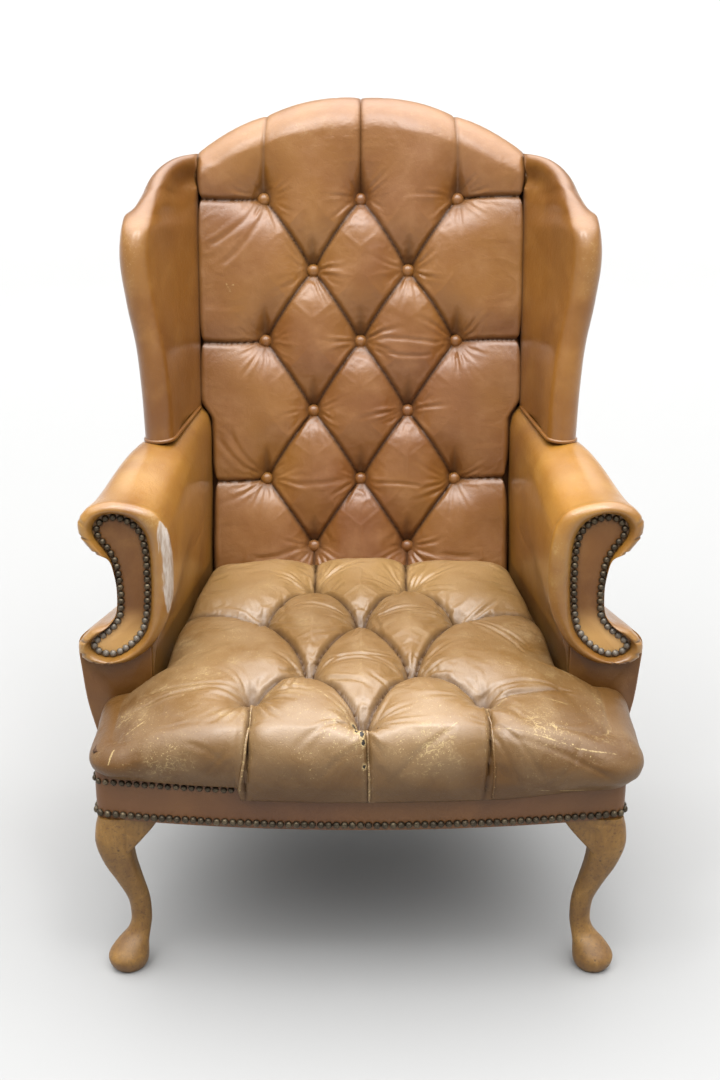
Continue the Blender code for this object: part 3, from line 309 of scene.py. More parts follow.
def tufting(u, v, buttons, pleats, plan):
    """How far the leather is drawn in at each point of the flat cover, and how folded it is there."""
    deepest = np.zeros(u.shape)
    folded = np.zeros(u.shape)
    for line, strength in pleats:
        gap, side = line_distance(u, v, line)
        reach = np.where(side > 0, plan["reach"] * 0.88, plan["reach"] * 1.12)
        rise = np.clip(1 - gap / reach, 0, 1)
        tight = np.clip(1 - gap / plan["turn"], 0, 1)
        dome = plan["middle"] * strength * (1 - np.sqrt(1 - rise * rise * 0.90)) / 0.684
        groove = plan["crease"] * strength * (1 - np.sqrt(1 - tight * tight * 0.995))
        lip = np.where(side > 0, plan["lip"] * strength * bell(gap - 0.0055, 0.0050), 0)
        deepest = np.maximum(deepest, dome + groove - lip)
        # The fold mark is painted as shade in the leather: along each pleat here, and at each button below.
        folded = np.maximum(folded, min(1.0, strength) * np.exp(-((gap / 0.0030) ** 1.5)))
    pit = np.zeros(u.shape)
    for bx, by in buttons:
        dx, dy = u - bx, v - by
        r = np.hypot(dx, np.where(dy > 0, dy * plan["stretch"], dy * 1.10))
        pit = np.maximum(pit, plan["pit"] * np.exp(-((np.maximum(r - 0.006, 0) / plan["pit_reach"]) ** 1.3)))
        up = np.clip(dy / plan["funnel_length"], 0, 1)
        width = lerp(0.0105, 0.0030, up)
        funnel = plan["funnel"] * (1 - up) ** 1.1 * bell(dx, width) * smooth((dy + 0.010) / 0.010)
        pit = pit + funnel
        # Painted shade: dark round each button and up the funnel above it, where the pit lies in shadow.
        folded = np.maximum(folded, 0.85 * np.exp(-((np.hypot(dx, dy) / 0.013) ** 2)))
        folded = np.maximum(folded, 0.9 * (1 - up) * bell(dx, width * 1.1) * (dy > 0))
    return deepest + pit, folded


def gathers(u, v, buttons, seed, count, longest, depth, spread=None):
    """Fine folds that radiate from the buttons."""
    rng = random.Random(seed)
    total = np.zeros(u.shape)
    for bx, by in buttons:
        near = np.hypot(u - bx, v - by) < longest * 1.4
        dx, dy = (u - bx)[near], (v - by)[near]
        local = np.zeros(dx.shape)
        for _ in range(count):
            angle = rng.uniform(0, math.tau) if spread is None else rng.choice(spread) + rng.gauss(0, 0.22)
            length = rng.uniform(0.35, 1.0) * longest
            bend = rng.uniform(-7, 7)
            strength = depth * rng.uniform(0.4, 1.0)
            along = dx * math.cos(angle) + dy * math.sin(angle)
            across = dy * math.cos(angle) - dx * math.sin(angle) - 0.5 * bend * along**2
            width = 0.0030 + 0.085 * np.clip(along, 0, 1)
            reach = bell(along - 0.012 - 0.32 * length, 0.42 * length) * smooth(along / 0.012)
            local += strength * reach * np.cos(math.pi * across / width) * bell(across, 1.25 * width)
        total[near] += local
    return total


def creases(u, v, lines, depth, width):
    """Single creases along given lines: a groove with a soft ridge on each side. It fades at both ends."""
    total = np.zeros(u.shape)
    for line in lines:
        gap, _ = line_distance(u, v, line)
        ends = np.minimum(np.hypot(u - line[0][0], v - line[0][1]), np.hypot(u - line[-1][0], v - line[-1][1]))
        total += depth * smooth(ends / 0.014) * np.cos(math.pi * gap / (2.2 * width)) * bell(gap, 1.5 * width)
    return total


def lumps(u, v, size, depth, seed):
    """Low swells in the stuffing."""
    rng = random.Random(seed)
    total = np.zeros(u.shape)
    for _ in range(7):
        angle, phase = rng.uniform(0, math.tau), rng.uniform(0, math.tau)
        wave = math.tau / (size * rng.uniform(0.6, 1.5))
        total += np.sin((u * math.cos(angle) + v * math.sin(angle)) * wave + phase)
    return total * depth / 7


def surface_normals(points):
    """Unit normals of a sheet of points, across x along."""
    across = np.gradient(points, axis=1)
    along = np.gradient(points, axis=0)
    normal = np.cross(across, along)
    return normal / np.maximum(np.linalg.norm(normal, axis=-1, keepdims=True), 1e-9)


# Meshes and objects


def add_sheet(bm, points, **marks):
    """A grid whose corners are put at an array of points, with its marks (fold, wear) on them."""
    rows, columns = points.shape[0] - 1, points.shape[1] - 1
    made = bmesh.ops.create_grid(bm, x_segments=columns, y_segments=rows, size=0.5)["verts"]
    for vert, place in zip(made, points.reshape(-1, 3)):
        vert.co = place
    for name, values in marks.items():
        layer = bm.verts.layers.float.get(name) or bm.verts.layers.float.new(name)
        for vert, value in zip(made, np.broadcast_to(values, points.shape[:2]).ravel()):
            vert[layer] = float(value)
    return made


def new_sheet(points, **marks):
    bm = bmesh.new()
    for name in marks:
        bm.verts.layers.float.new(name)
    add_sheet(bm, points, **marks)
    return bm


def weld(bm, distance=2e-5):
    bmesh.ops.remove_doubles(bm, verts=bm.verts[:], dist=distance)


def close_ends(bm):
    """Fills each open edge with one face."""
    bmesh.ops.holes_fill(bm, edges=[e for e in bm.edges if e.is_boundary], sides=0)


def thicken(bm, outline, move):
    """A flat face over the outline's points, drawn out by the move. Gives the new geometry."""
    face = bm.faces.new([bm.verts.new(point) for point in outline])
    made = bmesh.ops.extrude_face_region(bm, geom=[face])["geom"]
    bmesh.ops.translate(bm, vec=move, verts=[v for v in made if isinstance(v, bmesh.types.BMVert)])
    return made


def ease(bm, edges, offset, segments):
    """Rounds the edges off."""
    bmesh.ops.bevel(bm, geom=edges, offset=offset, segments=segments, profile=0.5, affect="EDGES", material=-1)


def mark_all(bm, name, value):
    layer = bm.verts.layers.float.new(name)
    for vert in bm.verts:
        vert[layer] = value


def place_object(name, data):
    thing = bpy.data.objects.new(name, data)
    bpy.context.scene.collection.objects.link(thing)
    return thing


def mesh_object(name, bm):
    """An object of the finished shape, smoothly shaded."""
    for face in bm.faces:
        face.smooth = True
    mesh = bpy.data.meshes.new(name)
    bm.to_mesh(mesh)
    bm.free()
    return place_object(name, mesh)


def finish_piece(name, bm, material, replaced=(), angle=55, side=RIGHT):
    """Makes the shape an object in the chair's frame, with its material, and hides the solids it replaces."""
    if side == LEFT:
        bmesh.ops.scale(bm, vec=(-1, 1, 1), verts=bm.verts[:])
    bmesh.ops.translate(bm, vec=(0, CENTRE_Y, 0), verts=bm.verts[:])
    bmesh.ops.recalc_face_normals(bm, faces=bm.faces[:])
    for edge in bm.edges:
        if len(edge.link_faces) == 2:
            edge.smooth = edge.calc_face_angle(0) < math.radians(angle)
    piece = mesh_object(name, bm)
    piece.data.materials.append(material)
    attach(piece, "root")
    if replaced:
        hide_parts(*replaced)
    return piece


def settle(piece, pressure, slack, stiff, frames, most, broad):
    """Lets the leather swell and wrinkle as cloth between the places where it is held, then keeps that shape.

    Where it is partly held it moves less. Only a share (broad) of the wide swelling is kept, and no
    point moves further than most.
    """
    mesh = piece.data
    count = len(mesh.vertices)
    held = np.empty(count)
    mesh.attributes["held"].data.foreach_get("value", held)
    group = piece.vertex_groups.new(name="held")
    group.add([int(index) for index in np.flatnonzero(held > 0.99)], 1.0, "REPLACE")
    before = np.empty(count * 3)
    mesh.vertices.foreach_get("co", before)
    cloth = piece.modifiers.new("settle", "CLOTH")
    rules = cloth.settings
    rules.quality = 4
    rules.mass = 0.15
    rules.air_damping = 2.0
    rules.tension_stiffness = rules.compression_stiffness = 20.0
    rules.shear_stiffness = 8.0
    rules.bending_stiffness = stiff
    rules.shrink_min = -slack
    rules.use_pressure = True
    rules.uniform_pressure_force = pressure
    rules.effector_weights.gravity = 0.0
    rules.vertex_group_mass = "held"
    cloth.collision_settings.use_collision = False
    cloth.point_cache.frame_start, cloth.point_cache.frame_end = 1, frames
    scene = bpy.context.scene
    for number in range(1, frames + 1):
        scene.frame_set(number)
    shaped = piece.evaluated_get(bpy.context.evaluated_depsgraph_get()).data
    after = np.empty(count * 3)
    shaped.vertices.foreach_get("co", after)
    moved = (after - before).reshape(-1, 3)
    ends = np.empty(len(mesh.edges) * 2, dtype=np.int64)
    mesh.edges.foreach_get("vertices", ends)
    ends = ends.reshape(-1, 2)
    degree = np.bincount(ends.ravel(), minlength=count)[:, None]
    slow = moved.copy()
    for _ in range(24):
        total = np.stack([np.bincount(ends[:, 0], slow[ends[:, 1], k], count)
                          + np.bincount(ends[:, 1], slow[ends[:, 0], k], count) for k in range(3)], axis=1)
        slow = (slow + total / degree) / 2
    moved = (moved - slow) + slow * broad
    far = np.linalg.norm(moved, axis=1)
    moved *= (np.minimum(1.0, most / np.maximum(far, 1e-9)) * (1 - held))[:, None]
    piece.modifiers.remove(cloth)
    piece.vertex_groups.remove(group)
    mesh.vertices.foreach_set("co", before + moved.ravel())
    mesh.update()
    scene.frame_set(1)


def sleeve(points, **marks):
    """A closed skin: the sheet's first and last rows are joined, and its open ends are filled."""
    bm = new_sheet(points, **marks)
    weld(bm)
    close_ends(bm)
    return bm


def welt(path, radius, rounds=10):
    """A corded seam along a path of points, with closed ends."""
    path = np.asarray(path, float)
    run = np.gradient(path, axis=0)
    run /= np.linalg.norm(run, axis=1, keepdims=True)
    first = np.cross(run[0], (0.3, 0.2, 1.0))
    sides = []
    for direction in run:
        first = first - direction * np.dot(first, direction)
        first = first / np.linalg.norm(first)
        sides.append(first)
    sides = np.array(sides)
    others = np.cross(run, sides)
    angles = np.linspace(0, math.tau, rounds + 1)
    taper = np.minimum(1, np.minimum(np.arange(len(path)), np.arange(len(path))[::-1]) * 0.35 + 0.3)[:, None, None]
    circle = np.cos(angles)[None, :, None] * sides[:, None] + np.sin(angles)[None, :, None] * others[:, None]
    points = path[:, None] + radius * taper * circle
    return sleeve(points)


def even_path(points, step):
    """A path resampled at an even step along its length."""
    points = np.asarray(points, float)
    lengths = arc_lengths(points)
    goals = np.linspace(0, lengths[-1], max(2, round(lengths[-1] / step)) + 1)
    return np.stack([np.interp(goals, lengths, points[:, k]) for k in range(points.shape[1])], axis=1)


def domes(places, radius, height, segments=10, rings=5, sink=0.25):
    """Round-headed pieces at (centre, outward) places: flattened balls sunk a little into the leather."""
    bm = bmesh.new()
    for centre, outward in places:
        outward = Vector(outward).normalized()
        turn = outward.to_track_quat("Z", "Y").to_matrix().to_4x4()
        place = Matrix.Translation(Vector(centre) + outward * height * (0.5 - sink))
        size = Matrix.Diagonal((radius, radius, height, 1.0))
        bmesh.ops.create_uvsphere(bm, u_segments=segments, v_segments=rings, radius=1.0,
                                  matrix=place @ turn @ size)
    return bm


# Materials


class Wire:
    """A socket of a material's nodes, on which sums can be written."""

    def __init__(self, finish, socket):
        self.finish = finish
        self.socket = socket

    def math(self, operation, first, second=None, clamp=False):
        inputs = {0: first} if second is None else {0: first, 1: second}
        return self.finish.node("ShaderNodeMath", {"operation": operation, "use_clamp": clamp}, inputs)

    def __add__(self, other):
        return self.math("ADD", self, other)

    __radd__ = __add__

    def __sub__(self, other):
        return self.math("SUBTRACT", self, other)

    def __rsub__(self, other):
        return self.math("SUBTRACT", other, self)

    def __mul__(self, other):
        return self.math("MULTIPLY", self, other)

    __rmul__ = __mul__

    def __truediv__(self, other):
        return self.math("DIVIDE", self, other)

    def clamp(self):
        return self.math("ADD", self, 0.0, clamp=True)

    def step(self, low, high):
        """0 below low, 1 above high and smooth between."""
        return self.finish.node("ShaderNodeMapRange", {"interpolation_type": "SMOOTHSTEP"},
                                {"Value": self, "From Min": low, "From Max": high})

    def most(self, other):
        return self.math("MAXIMUM", self, other)

    def size(self):
        return self.finish.node("ShaderNodeMath", {"operation": "ABSOLUTE"}, {0: self})


class Finish:
    """A material under construction."""

    def __init__(self, name):
        self.material = bpy.data.materials.new(name)
        self.material.use_nodes = True
        self.tree = self.material.node_tree
        self.tree.nodes.clear()

    def node(self, kind, settings=None, inputs=None, output=0):
        made = self.tree.nodes.new(kind)
        for key, value in (settings or {}).items():
            setattr(made, key, value)
        for key, value in (inputs or {}).items():
            if isinstance(value, Wire):
                self.tree.links.new(value.socket, made.inputs[key])
            else:
                made.inputs[key].default_value = value
        return Wire(self, made.outputs[output])

    def place(self):
        return self.node("ShaderNodeTexCoord", output="Object")

    def mapped(self, where, scale, turn=(0, 0, 0)):
        return self.node("ShaderNodeMapping", {}, {"Vector": where, "Scale": scale, "Rotation": turn})

    def noise(self, where, scale, detail=3.0, rough=0.55, distortion=0.0):
        return self.node("ShaderNodeTexNoise", {}, {"Vector": where, "Scale": scale, "Detail": detail,
                                                    "Roughness": rough, "Distortion": distortion})

    def cells(self, where, scale, feature="F1"):
        return self.node("ShaderNodeTexVoronoi", {"feature": feature}, {"Vector": where, "Scale": scale})

    def attribute(self, name):
        return self.node("ShaderNodeAttribute", {"attribute_name": name}, output="Fac")

    def mix(self, share, first, second, blend="MIX"):
        return self.node("ShaderNodeMix", {"data_type": "RGBA", "blend_type": blend, "clamp_factor": True},
                         {0: share, 6: self.colour(first), 7: self.colour(second)}, output=2)

    @staticmethod
    def colour(value):
        return value if isinstance(value, Wire) else (*value[:3], 1.0)

    def bump(self, height, distance, strength=1.0, normal=None):
        inputs = {"Height": height, "Distance": distance, "Strength": strength}
        if normal is not None:
            inputs["Normal"] = normal
        return self.node("ShaderNodeBump", {}, inputs)

    def coordinate(self, where, axis):
        return self.node("ShaderNodeSeparateXYZ", {}, {"Vector": where}, output=axis)

    def near(self, where, point, stretch=(1, 1, 1)):
        """Distance from a point, in metres, with the axes stretched."""
        scaled = self.vector("MULTIPLY", self.vector("SUBTRACT", where, point), stretch)
        return self.vector("LENGTH", scaled, (0, 0, 0), "Value")

    def vector(self, operation, first, second, output="Vector"):
        return self.node("ShaderNodeVectorMath", {"operation": operation}, {0: first, 1: second}, output=output)

    def from_line(self, where, start, end):
        """Distance from a straight line between two points."""
        run = tuple(b - a for a, b in zip(start, end))
        moved = self.vector("SUBTRACT", where, start)
        share = (self.vector("DOT_PRODUCT", moved, run, "Value") / sum(r * r for r in run)).clamp()
        gone = self.node("ShaderNodeVectorMath", {"operation": "SCALE"}, {0: run, "Scale": share})
        return self.vector("LENGTH", self.vector("SUBTRACT", moved, gone), (0, 0, 0), "Value")

    def shader(self, **inputs):
        named = {key.replace("_", " "): value for key, value in inputs.items()}
        if "Base Color" in named:
            named["Base Color"] = self.colour(named["Base Color"])
        surface = self.node("ShaderNodeBsdfPrincipled", {}, named)
        out = self.tree.nodes.new("ShaderNodeOutputMaterial")
        self.tree.links.new(surface.socket, out.inputs["Surface"])
        return self.material


FINISHES = {}
STRAW = (0.56, 0.42, 0.19)  # bare hide where the glaze has gone


def plan_marks(f, where, tint, roughness, scratched, torn):
    """Rubbed lines and frayed holes at places of the cover's flat plan, added to the tint and roughness."""
    plan = f.node("ShaderNodeCombineXYZ", {}, {0: f.attribute("across"), 1: f.attribute("along")})
    wobble = f.noise(where, 380.0, 3.0, 0.6) * 0.0070 - 0.0035
    worn = f.noise(where, 75.0, 4.0, 0.65).step(0.42, 0.58)
    sway = (f.noise(where, 45.0, 2.0, 0.5) - 0.5).size() * 0.0035
    for start, end, width in scratched:
        line = 1 - (f.from_line(plan, (*start, 0), (*end, 0)) + wobble * 0.5 + sway).step(width * 0.3, width)
        tint = f.mix(line * worn * 0.50, tint, STRAW)
    for point, size in torn:
        gap = f.near(plan, (*point, 0), (1, 0.55, 1)) + wobble
        fray = 1 - gap.step(size * 0.9, size * 1.9)
        hole = 1 - gap.step(size * 0.80, size * 1.05)
        tint = f.mix(fray * 0.70, tint, (0.56, 0.42, 0.20))
        tint = f.mix(hole, tint, (0.012, 0.007, 0.004))
        roughness = roughness + fray * 0.3
    return tint, roughness


def leather(name, base, deep, pale, rough, coat, age, torn=(), scuffed=False, low=None, shade_and_dirt_below=None,
            scratched=(), haze=0.24, glint=0.5):
    """Dyed and glazed hide: clouded colour, pebble grain, dark folds, rubbed and cracked where it wears.

    Two heights may be given: below low a golden band of painted light shows, and below the other,
    painted shade with some dirt. torn and scratched give points and lines in the cover's flat plan.
    """
    f = Finish(name)
    where = f.place()
    cloud = f.noise(where, 3.6, 3.0, 0.55, 0.4)
    mottle = f.noise(where, 19.0, 6.0, 0.62)
    patch = f.noise(where, 9.0, 4.0, 0.6, 0.8)
    speck = f.noise(where, 330.0, 3.0, 0.65)
    fold = f.attribute("fold")
    wear = f.attribute("wear")
    pebble = f.cells(where, 820.0)
    warped = f.mix(0.012, where, f.noise(where, 40.0, 3.0, 0.6), "ADD")
    cracks = f.cells(warped, 95.0, "DISTANCE_TO_EDGE")
    hair = 1 - cracks.step(0.0, 0.075)
    tint = f.mix(cloud.step(0.30, 0.72), deep, base)
    tint = f.mix(mottle.step(0.42, 0.78) * 0.34, tint, pale)
    tint = f.mix((1 - patch.step(0.30, 0.55)) * 0.22, tint, deep)
    # Painted light: a golden band on the lower scroll of the arm's front panel, where the light falls on it.
    if low:
        height = f.coordinate(where, "Z") + (cloud - 0.5) * 0.05
        golden_light = (1 - height.step(low - 0.018, low + 0.045)) * height.step(low - 0.050, low - 0.030)
        tint = f.mix(golden_light * 0.95, tint, (0.72, 0.42, 0.150))
    dull = fold
    # Painted shade, with some dirt: below the given height the seat's front darkens, more at its outer sides, and loses
    # its coat.
    if shade_and_dirt_below:
        outer = f.coordinate(where, "X").size().step(0.13, 0.24)
        height = f.coordinate(where, "Z") + (cloud - 0.5) * 0.020 - outer * 0.022
        shade_and_dirt = 1 - height.step(shade_and_dirt_below - 0.085, shade_and_dirt_below)
        # Painted light: the seat is lightened towards its rear, offsetting the shade the back casts there.
        tint = f.mix(f.coordinate(where, "Y").step(-0.06, 0.14) * 0.75, tint, (0.380, 0.230, 0.085))
        tint = f.mix(shade_and_dirt * 0.90, tint, (0.086, 0.036, 0.006))
        dull = fold.most(shade_and_dirt * 0.92)
    rub = wear * patch.step(0.35, 0.68)
    tint = f.mix(rub * 0.55, tint, pale)
    bare = ((speck + wear * 0.10 + patch * 0.16 - 0.760) * 16.0).clamp() * wear.step(0.12, 0.85) * age
    thread = f.noise(f.mapped(where, (80, 130, 110), (0.3, 0.2, 0.5)), 1.0, 4.0, 0.65, 0.8)
    thread = (1 - (thread - 0.5).size() * 24.0).clamp()
    broken = f.noise(where, 150.0, 2.0, 0.6).step(0.52, 0.60) * mottle.step(0.50, 0.62)
    flake = (hair * mottle.step(0.56, 0.68)).most(thread * broken) * wear.step(0.25, 0.80) * age
    tint = f.mix(bare.most(flake) * 0.75, tint, STRAW)
    # Painted shade: the fold mark darkens pleats, button pits and the places where covers meet other parts.
    tint = f.mix(fold * 0.90, tint, (0.036, 0.013, 0.004))
    roughness = rough + (mottle - 0.5) * 0.16 + rub * 0.14 + bare * 0.25 + fold * 0.25
    if scuffed:
        scuff = f.attribute("scuff")
        streaks = f.noise(f.mapped(where, (260, 120, 34)), 1.0, 3.0, 0.6)
        chalk = (scuff * 1.6 + (streaks - 0.5) * 1.3 - 0.25).step(0.10, 0.70)
        tint = f.mix(chalk * 0.80, tint, f.mix(streaks.step(0.3, 0.7), (0.30, 0.24, 0.19), (0.55, 0.51, 0.47)))
        roughness = roughness + chalk * 0.35
    if torn or scratched:
        tint, roughness = plan_marks(f, where, tint, roughness, scratched, torn)
    grain = f.bump(pebble, 0.00030, 0.35)
    veins = f.bump(f.noise(where, 62.0, 5.0, 0.65, 0.7), 0.0022, 0.30, grain)
    split = f.bump(1 - hair, 0.0004, 0.10 + 0.25 * age, veins)
    rubbed = f.bump(1 - bare, 0.0004, 0.55, split)
    return f.shader(Base_Color=tint, Roughness=roughness.clamp(), Coat_Weight=(1 - dull) * coat,
                    Coat_Roughness=haze, Specular_IOR_Level=glint, Normal=rubbed)


def worn_wood(name, base, deep, pale):
    """Fruitwood rubbed back on its curves, with grain up its length, dents and small wormholes."""
    f = Finish(name)
    where = f.place()
    bent = f.mix(0.03, where, f.noise(where, 14.0, 3.0, 0.5), "ADD")
    grain = f.noise(f.mapped(bent, (120, 120, 22)), 1.0, 4.0, 0.62)
    cloud = f.noise(where, 30.0, 5.0, 0.65, 0.6)
    fleck = f.noise(where, 260.0, 3.0, 0.6)
    holes = f.cells(where, 62.0)
    height = f.coordinate(where, "Z")
    tint = f.mix(cloud.step(0.30, 0.70), deep, base)
    tint = f.mix(grain.step(0.40, 0.75) * 0.28, tint, pale)
    tint = f.mix(((cloud + fleck * 0.6 - 0.90) * 8.0).clamp() * 0.50, tint, pale)
    worm = (1 - holes.step(0.075, 0.15)) * cloud.step(0.42, 0.55)
    tint = f.mix(((fleck - 0.54) * 9.0).clamp() * 0.60, tint, (0.075, 0.034, 0.010))
    tint = f.mix(worm * 0.75, tint, (0.05, 0.025, 0.010))
    tint = f.mix((1 - height.step(0.0, 0.030)) * 0.45, tint, (0.13, 0.065, 0.025))
    roughness = 0.40 + grain * 0.22 + worm * 0.2
    fibre = f.bump(grain + fleck, 0.0006, 0.40)
    dents = f.bump(cloud - worm * 0.8, 0.0018, 0.35, fibre)
    return f.shader(Base_Color=tint, Roughness=roughness.clamp(), Coat_Weight=0.10, Coat_Roughness=0.30, Normal=dents)


def plain_wood(name, base, deep):
    """Sawn frame timber."""
    f = Finish(name)
    where = f.place()
    grain = f.noise(f.mapped(where, (12, 70, 70)), 1.0, 5.0, 0.6)
    tint = f.mix(grain.step(0.3, 0.7), deep, base)
    return f.shader(Base_Color=tint, Roughness=0.60 + grain * 0.25, Normal=f.bump(grain, 0.0006, 0.5))


def old_brass(name, base, bright, low_tint):
    """Darkened brass nail heads, each a little different, paler grey and duller low on the arms."""
    f = Finish(name)
    where = f.place()
    each = f.cells(where, 95.0)
    tone = f.noise(where, 60.0, 2.0, 0.5)
    spots = f.noise(where, 520.0, 3.0, 0.6)
    low = 1 - f.coordinate(where, "Z").step(0.435, 0.500)
    high = f.coordinate(where, "Z").step(0.36, 0.40)
    tint = f.mix(tone.step(0.40, 0.75) * 0.65, base, bright)
    tint = f.mix(spots.step(0.45, 0.65) * 0.45, tint, (0.035, 0.028, 0.018))
    # Low on the arms the heads are mixed towards a paler grey.
    tint = f.mix(low * high * 0.80, tint, low_tint)
    roughness = 0.34 + spots * 0.22 + low * high * 0.18
    return f.shader(Base_Color=tint, Metallic=0.88, Roughness=roughness.clamp(),
                    Normal=f.bump(spots + each * 0.4, 0.0004, 0.4))


def sprung_steel(name):
    f = Finish(name)
    where = f.place()
    rust = f.noise(where, 90.0, 4.0, 0.6)
    tint = f.mix(rust.step(0.52, 0.70), (0.33, 0.33, 0.34), (0.20, 0.09, 0.04))
    return f.shader(Base_Color=tint, Metallic=0.9, Roughness=0.32 + rust * 0.35)


def woven(name, base, deep, threads):
    """Plain weave of crossing threads, at a number of threads to the metre."""
    f = Finish(name)
    where = f.place()
    lines = [f.node("ShaderNodeMath", {"operation": "SINE"}, {0: f.coordinate(where, axis) * (math.tau * threads)})
             for axis in "XYZ"]
    weave = (lines[0] * lines[1] + lines[0] * lines[2]) * 0.5 + 0.5
    slub = f.noise(where, 60.0, 4.0, 0.6)
    tint = f.mix(weave.clamp() * 0.5 + slub * 0.5, deep, base)
    return f.shader(Base_Color=tint, Roughness=0.9, Normal=f.bump(weave, 0.0005, 0.6))


# What a user would change


def tone(label, default, words):
    return bpy.props.FloatVectorProperty(name=label, description=words, default=default, size=3, min=0, max=1,
                                         subtype="COLOR")


def length(label, default, words):
    return bpy.props.FloatProperty(name=label, description=words, default=default, min=0.0, soft_max=0.1,
                                   unit="LENGTH", subtype="DISTANCE")


class ChairSizes(bpy.types.PropertyGroup):
    button: length("Button radius", 0.0110, "Radius of a covered button")
    nail: length("Nail radius", 0.0051, "Radius of a nail's head")
    nail_height: length("Nail height", 0.0042, "Height of a nail's head")
    arm_nail_pitch: length("Arm nail pitch", 0.0104, "Distance between the nails of the arm fronts")
    rail_nail_pitch: length("Rail nail pitch", 0.0108, "Distance between the nails along the front rail")
    welt: length("Welt radius", 0.0030, "Radius of a corded seam")
    back_swell: length("Back swell", 0.0105, "How far the back's leather swells between pleats")
    seat_swell: length("Seat swell", 0.0145, "How far the seat's leather swells between pleats")


class ChairColours(bpy.types.PropertyGroup):
    arms: tone("Arms", (0.352, 0.163, 0.024), "Golden brown of the arms")
    wings: tone("Wings", (0.225, 0.090, 0.013), "Brown of the wings and the outside")
    back: tone("Inside back", (0.245, 0.102, 0.014), "Brown of the tufted back")
    seat: tone("Seat", (0.216, 0.120, 0.041), "Tan of the worn seat")
    band: tone("Band", (0.135, 0.054, 0.010), "Darker brown of the front band")
    legs: tone("Legs", (0.205, 0.100, 0.016), "Yellow brown of the rubbed legs")
    brass: tone("Nails", (0.075, 0.060, 0.042), "Dark old brass of the nails")


def sizes():
    return bpy.context.scene.chair_sizes


def finish_of(name):
    """The chair's materials, made once."""
    if not FINISHES:
        paint = bpy.context.scene.chair_colours
        arms = tuple(paint.arms), (0.180, 0.070, 0.010), (0.36, 0.200, 0.045), 0.31, 0.50, 0.35
        FINISHES.update({
            "arm leather": leather("arm_leather", *arms),
            "scuffed leather": leather("scuffed_arm_leather", *arms, scuffed=True),
            "wing leather": leather("wing_leather", tuple(paint.wings), (0.150, 0.054, 0.008), (0.36, 0.180, 0.045),
                                    0.31, 0.50, 0.35),
            "back leather": leather("back_leather", tuple(paint.back), (0.180, 0.062, 0.013), (0.40, 0.205, 0.085),
                                    0.36, 0.48, 0.3, scratched=BACK_SCARS, haze=0.34),
            "seat leather": leather("seat_leather", tuple(paint.seat), (0.160, 0.082, 0.021), (0.31, 0.210, 0.110),
                                    0.42, 0.92, 1.0, torn=SEAT_TEARS, shade_and_dirt_below=0.413, scratched=SEAT_SCRATCHES,
                                    haze=0.33, glint=0.34),
            # The arm's front panel, its skirt and the band are darker than the arm leather as painted shade of these
            # low front faces; the band is partly its own darker brown.
            "front leather": leather("front_leather", (0.185, 0.070, 0.009), (0.120, 0.042, 0.005),
                                     (0.32, 0.16, 0.045), 0.46, 0.06, 0.4, low=0.446),
            "skirt leather": leather("skirt_leather", (0.170, 0.066, 0.009), (0.110, 0.040, 0.005),
                                     (0.28, 0.13, 0.03), 0.44, 0.08, 0.3),
            "band leather": leather("band_leather", tuple(paint.band), (0.090, 0.032, 0.010), (0.21, 0.090, 0.032),
                                    0.48, 0.04, 0.3),
            "leg wood": worn_wood("leg_wood", tuple(paint.legs), (0.130, 0.058, 0.010), (0.33, 0.185, 0.050)),
            "frame wood": plain_wood("frame_wood", (0.55, 0.39, 0.22), (0.40, 0.26, 0.13)),
            "brass": old_brass("old_brass", tuple(paint.brass), (0.20, 0.155, 0.095), (0.30, 0.27, 0.23)),
            "steel": sprung_steel("spring_steel"),
            "webbing": woven("webbing", (0.50, 0.38, 0.23), (0.30, 0.21, 0.12), 420),
            "dust cloth": woven("dust_cloth", (0.045, 0.043, 0.042), (0.018, 0.018, 0.018), 900),
        })
    return FINISHES[name]


# Shapes of the covers


def row_z(row):
    """Height of a row of the back's buttons, counted from the top."""
    return BACK_TOP_ROW - row * ROW


def back_buttons():
    found = []
    for row in range(6):
        columns = (-1, 0, 1) if row % 2 == 0 else (-0.5, 0.5)
        found += [(COLUMN * c, row_z(row)) for c in columns]
    return found


def back_pleats():
    """Diagonals between the rows, then the pleats that run out to the edges."""
    buttons = back_buttons()
    pleats = []
    for ax, az in buttons:
        for bx, bz in buttons:
            if abs(az - bz - ROW) < 0.01 and abs(abs(ax - bx) - COLUMN / 2) < 0.01:
                pleats.append((bowed((ax, az), (bx, bz), 0.0035 if bx > ax else -0.0035), 1.0))
    for x, z in buttons:
        if z > BACK_TOP_ROW - 0.01:
            pleats.append(([(x, z), (x * 0.99, z + 0.10), (x * 0.96, 1.26)], 0.42 if x else 0.62))
        if z < BACK_TOP_ROW - 4.5 * ROW:
            pleats.append(([(x, z), (x, 0.30)], 0.9))
        if abs(x) > 0.9 * COLUMN:
            pleats.append((bowed((x, z), (math.copysign(0.285, x), z + 0.002), 0.003), 0.95))
    return pleats


def back_half_width(z):
    return lerp(0.2432, 0.2628, smooth((z - BACK_WIDENING[0]) / (BACK_WIDENING[1] - BACK_WIDENING[0])))


def crest_ledge(x):
    return np.maximum(crest_z(x, CREST_TOP), CREST_END_Z) + 2 * GAP


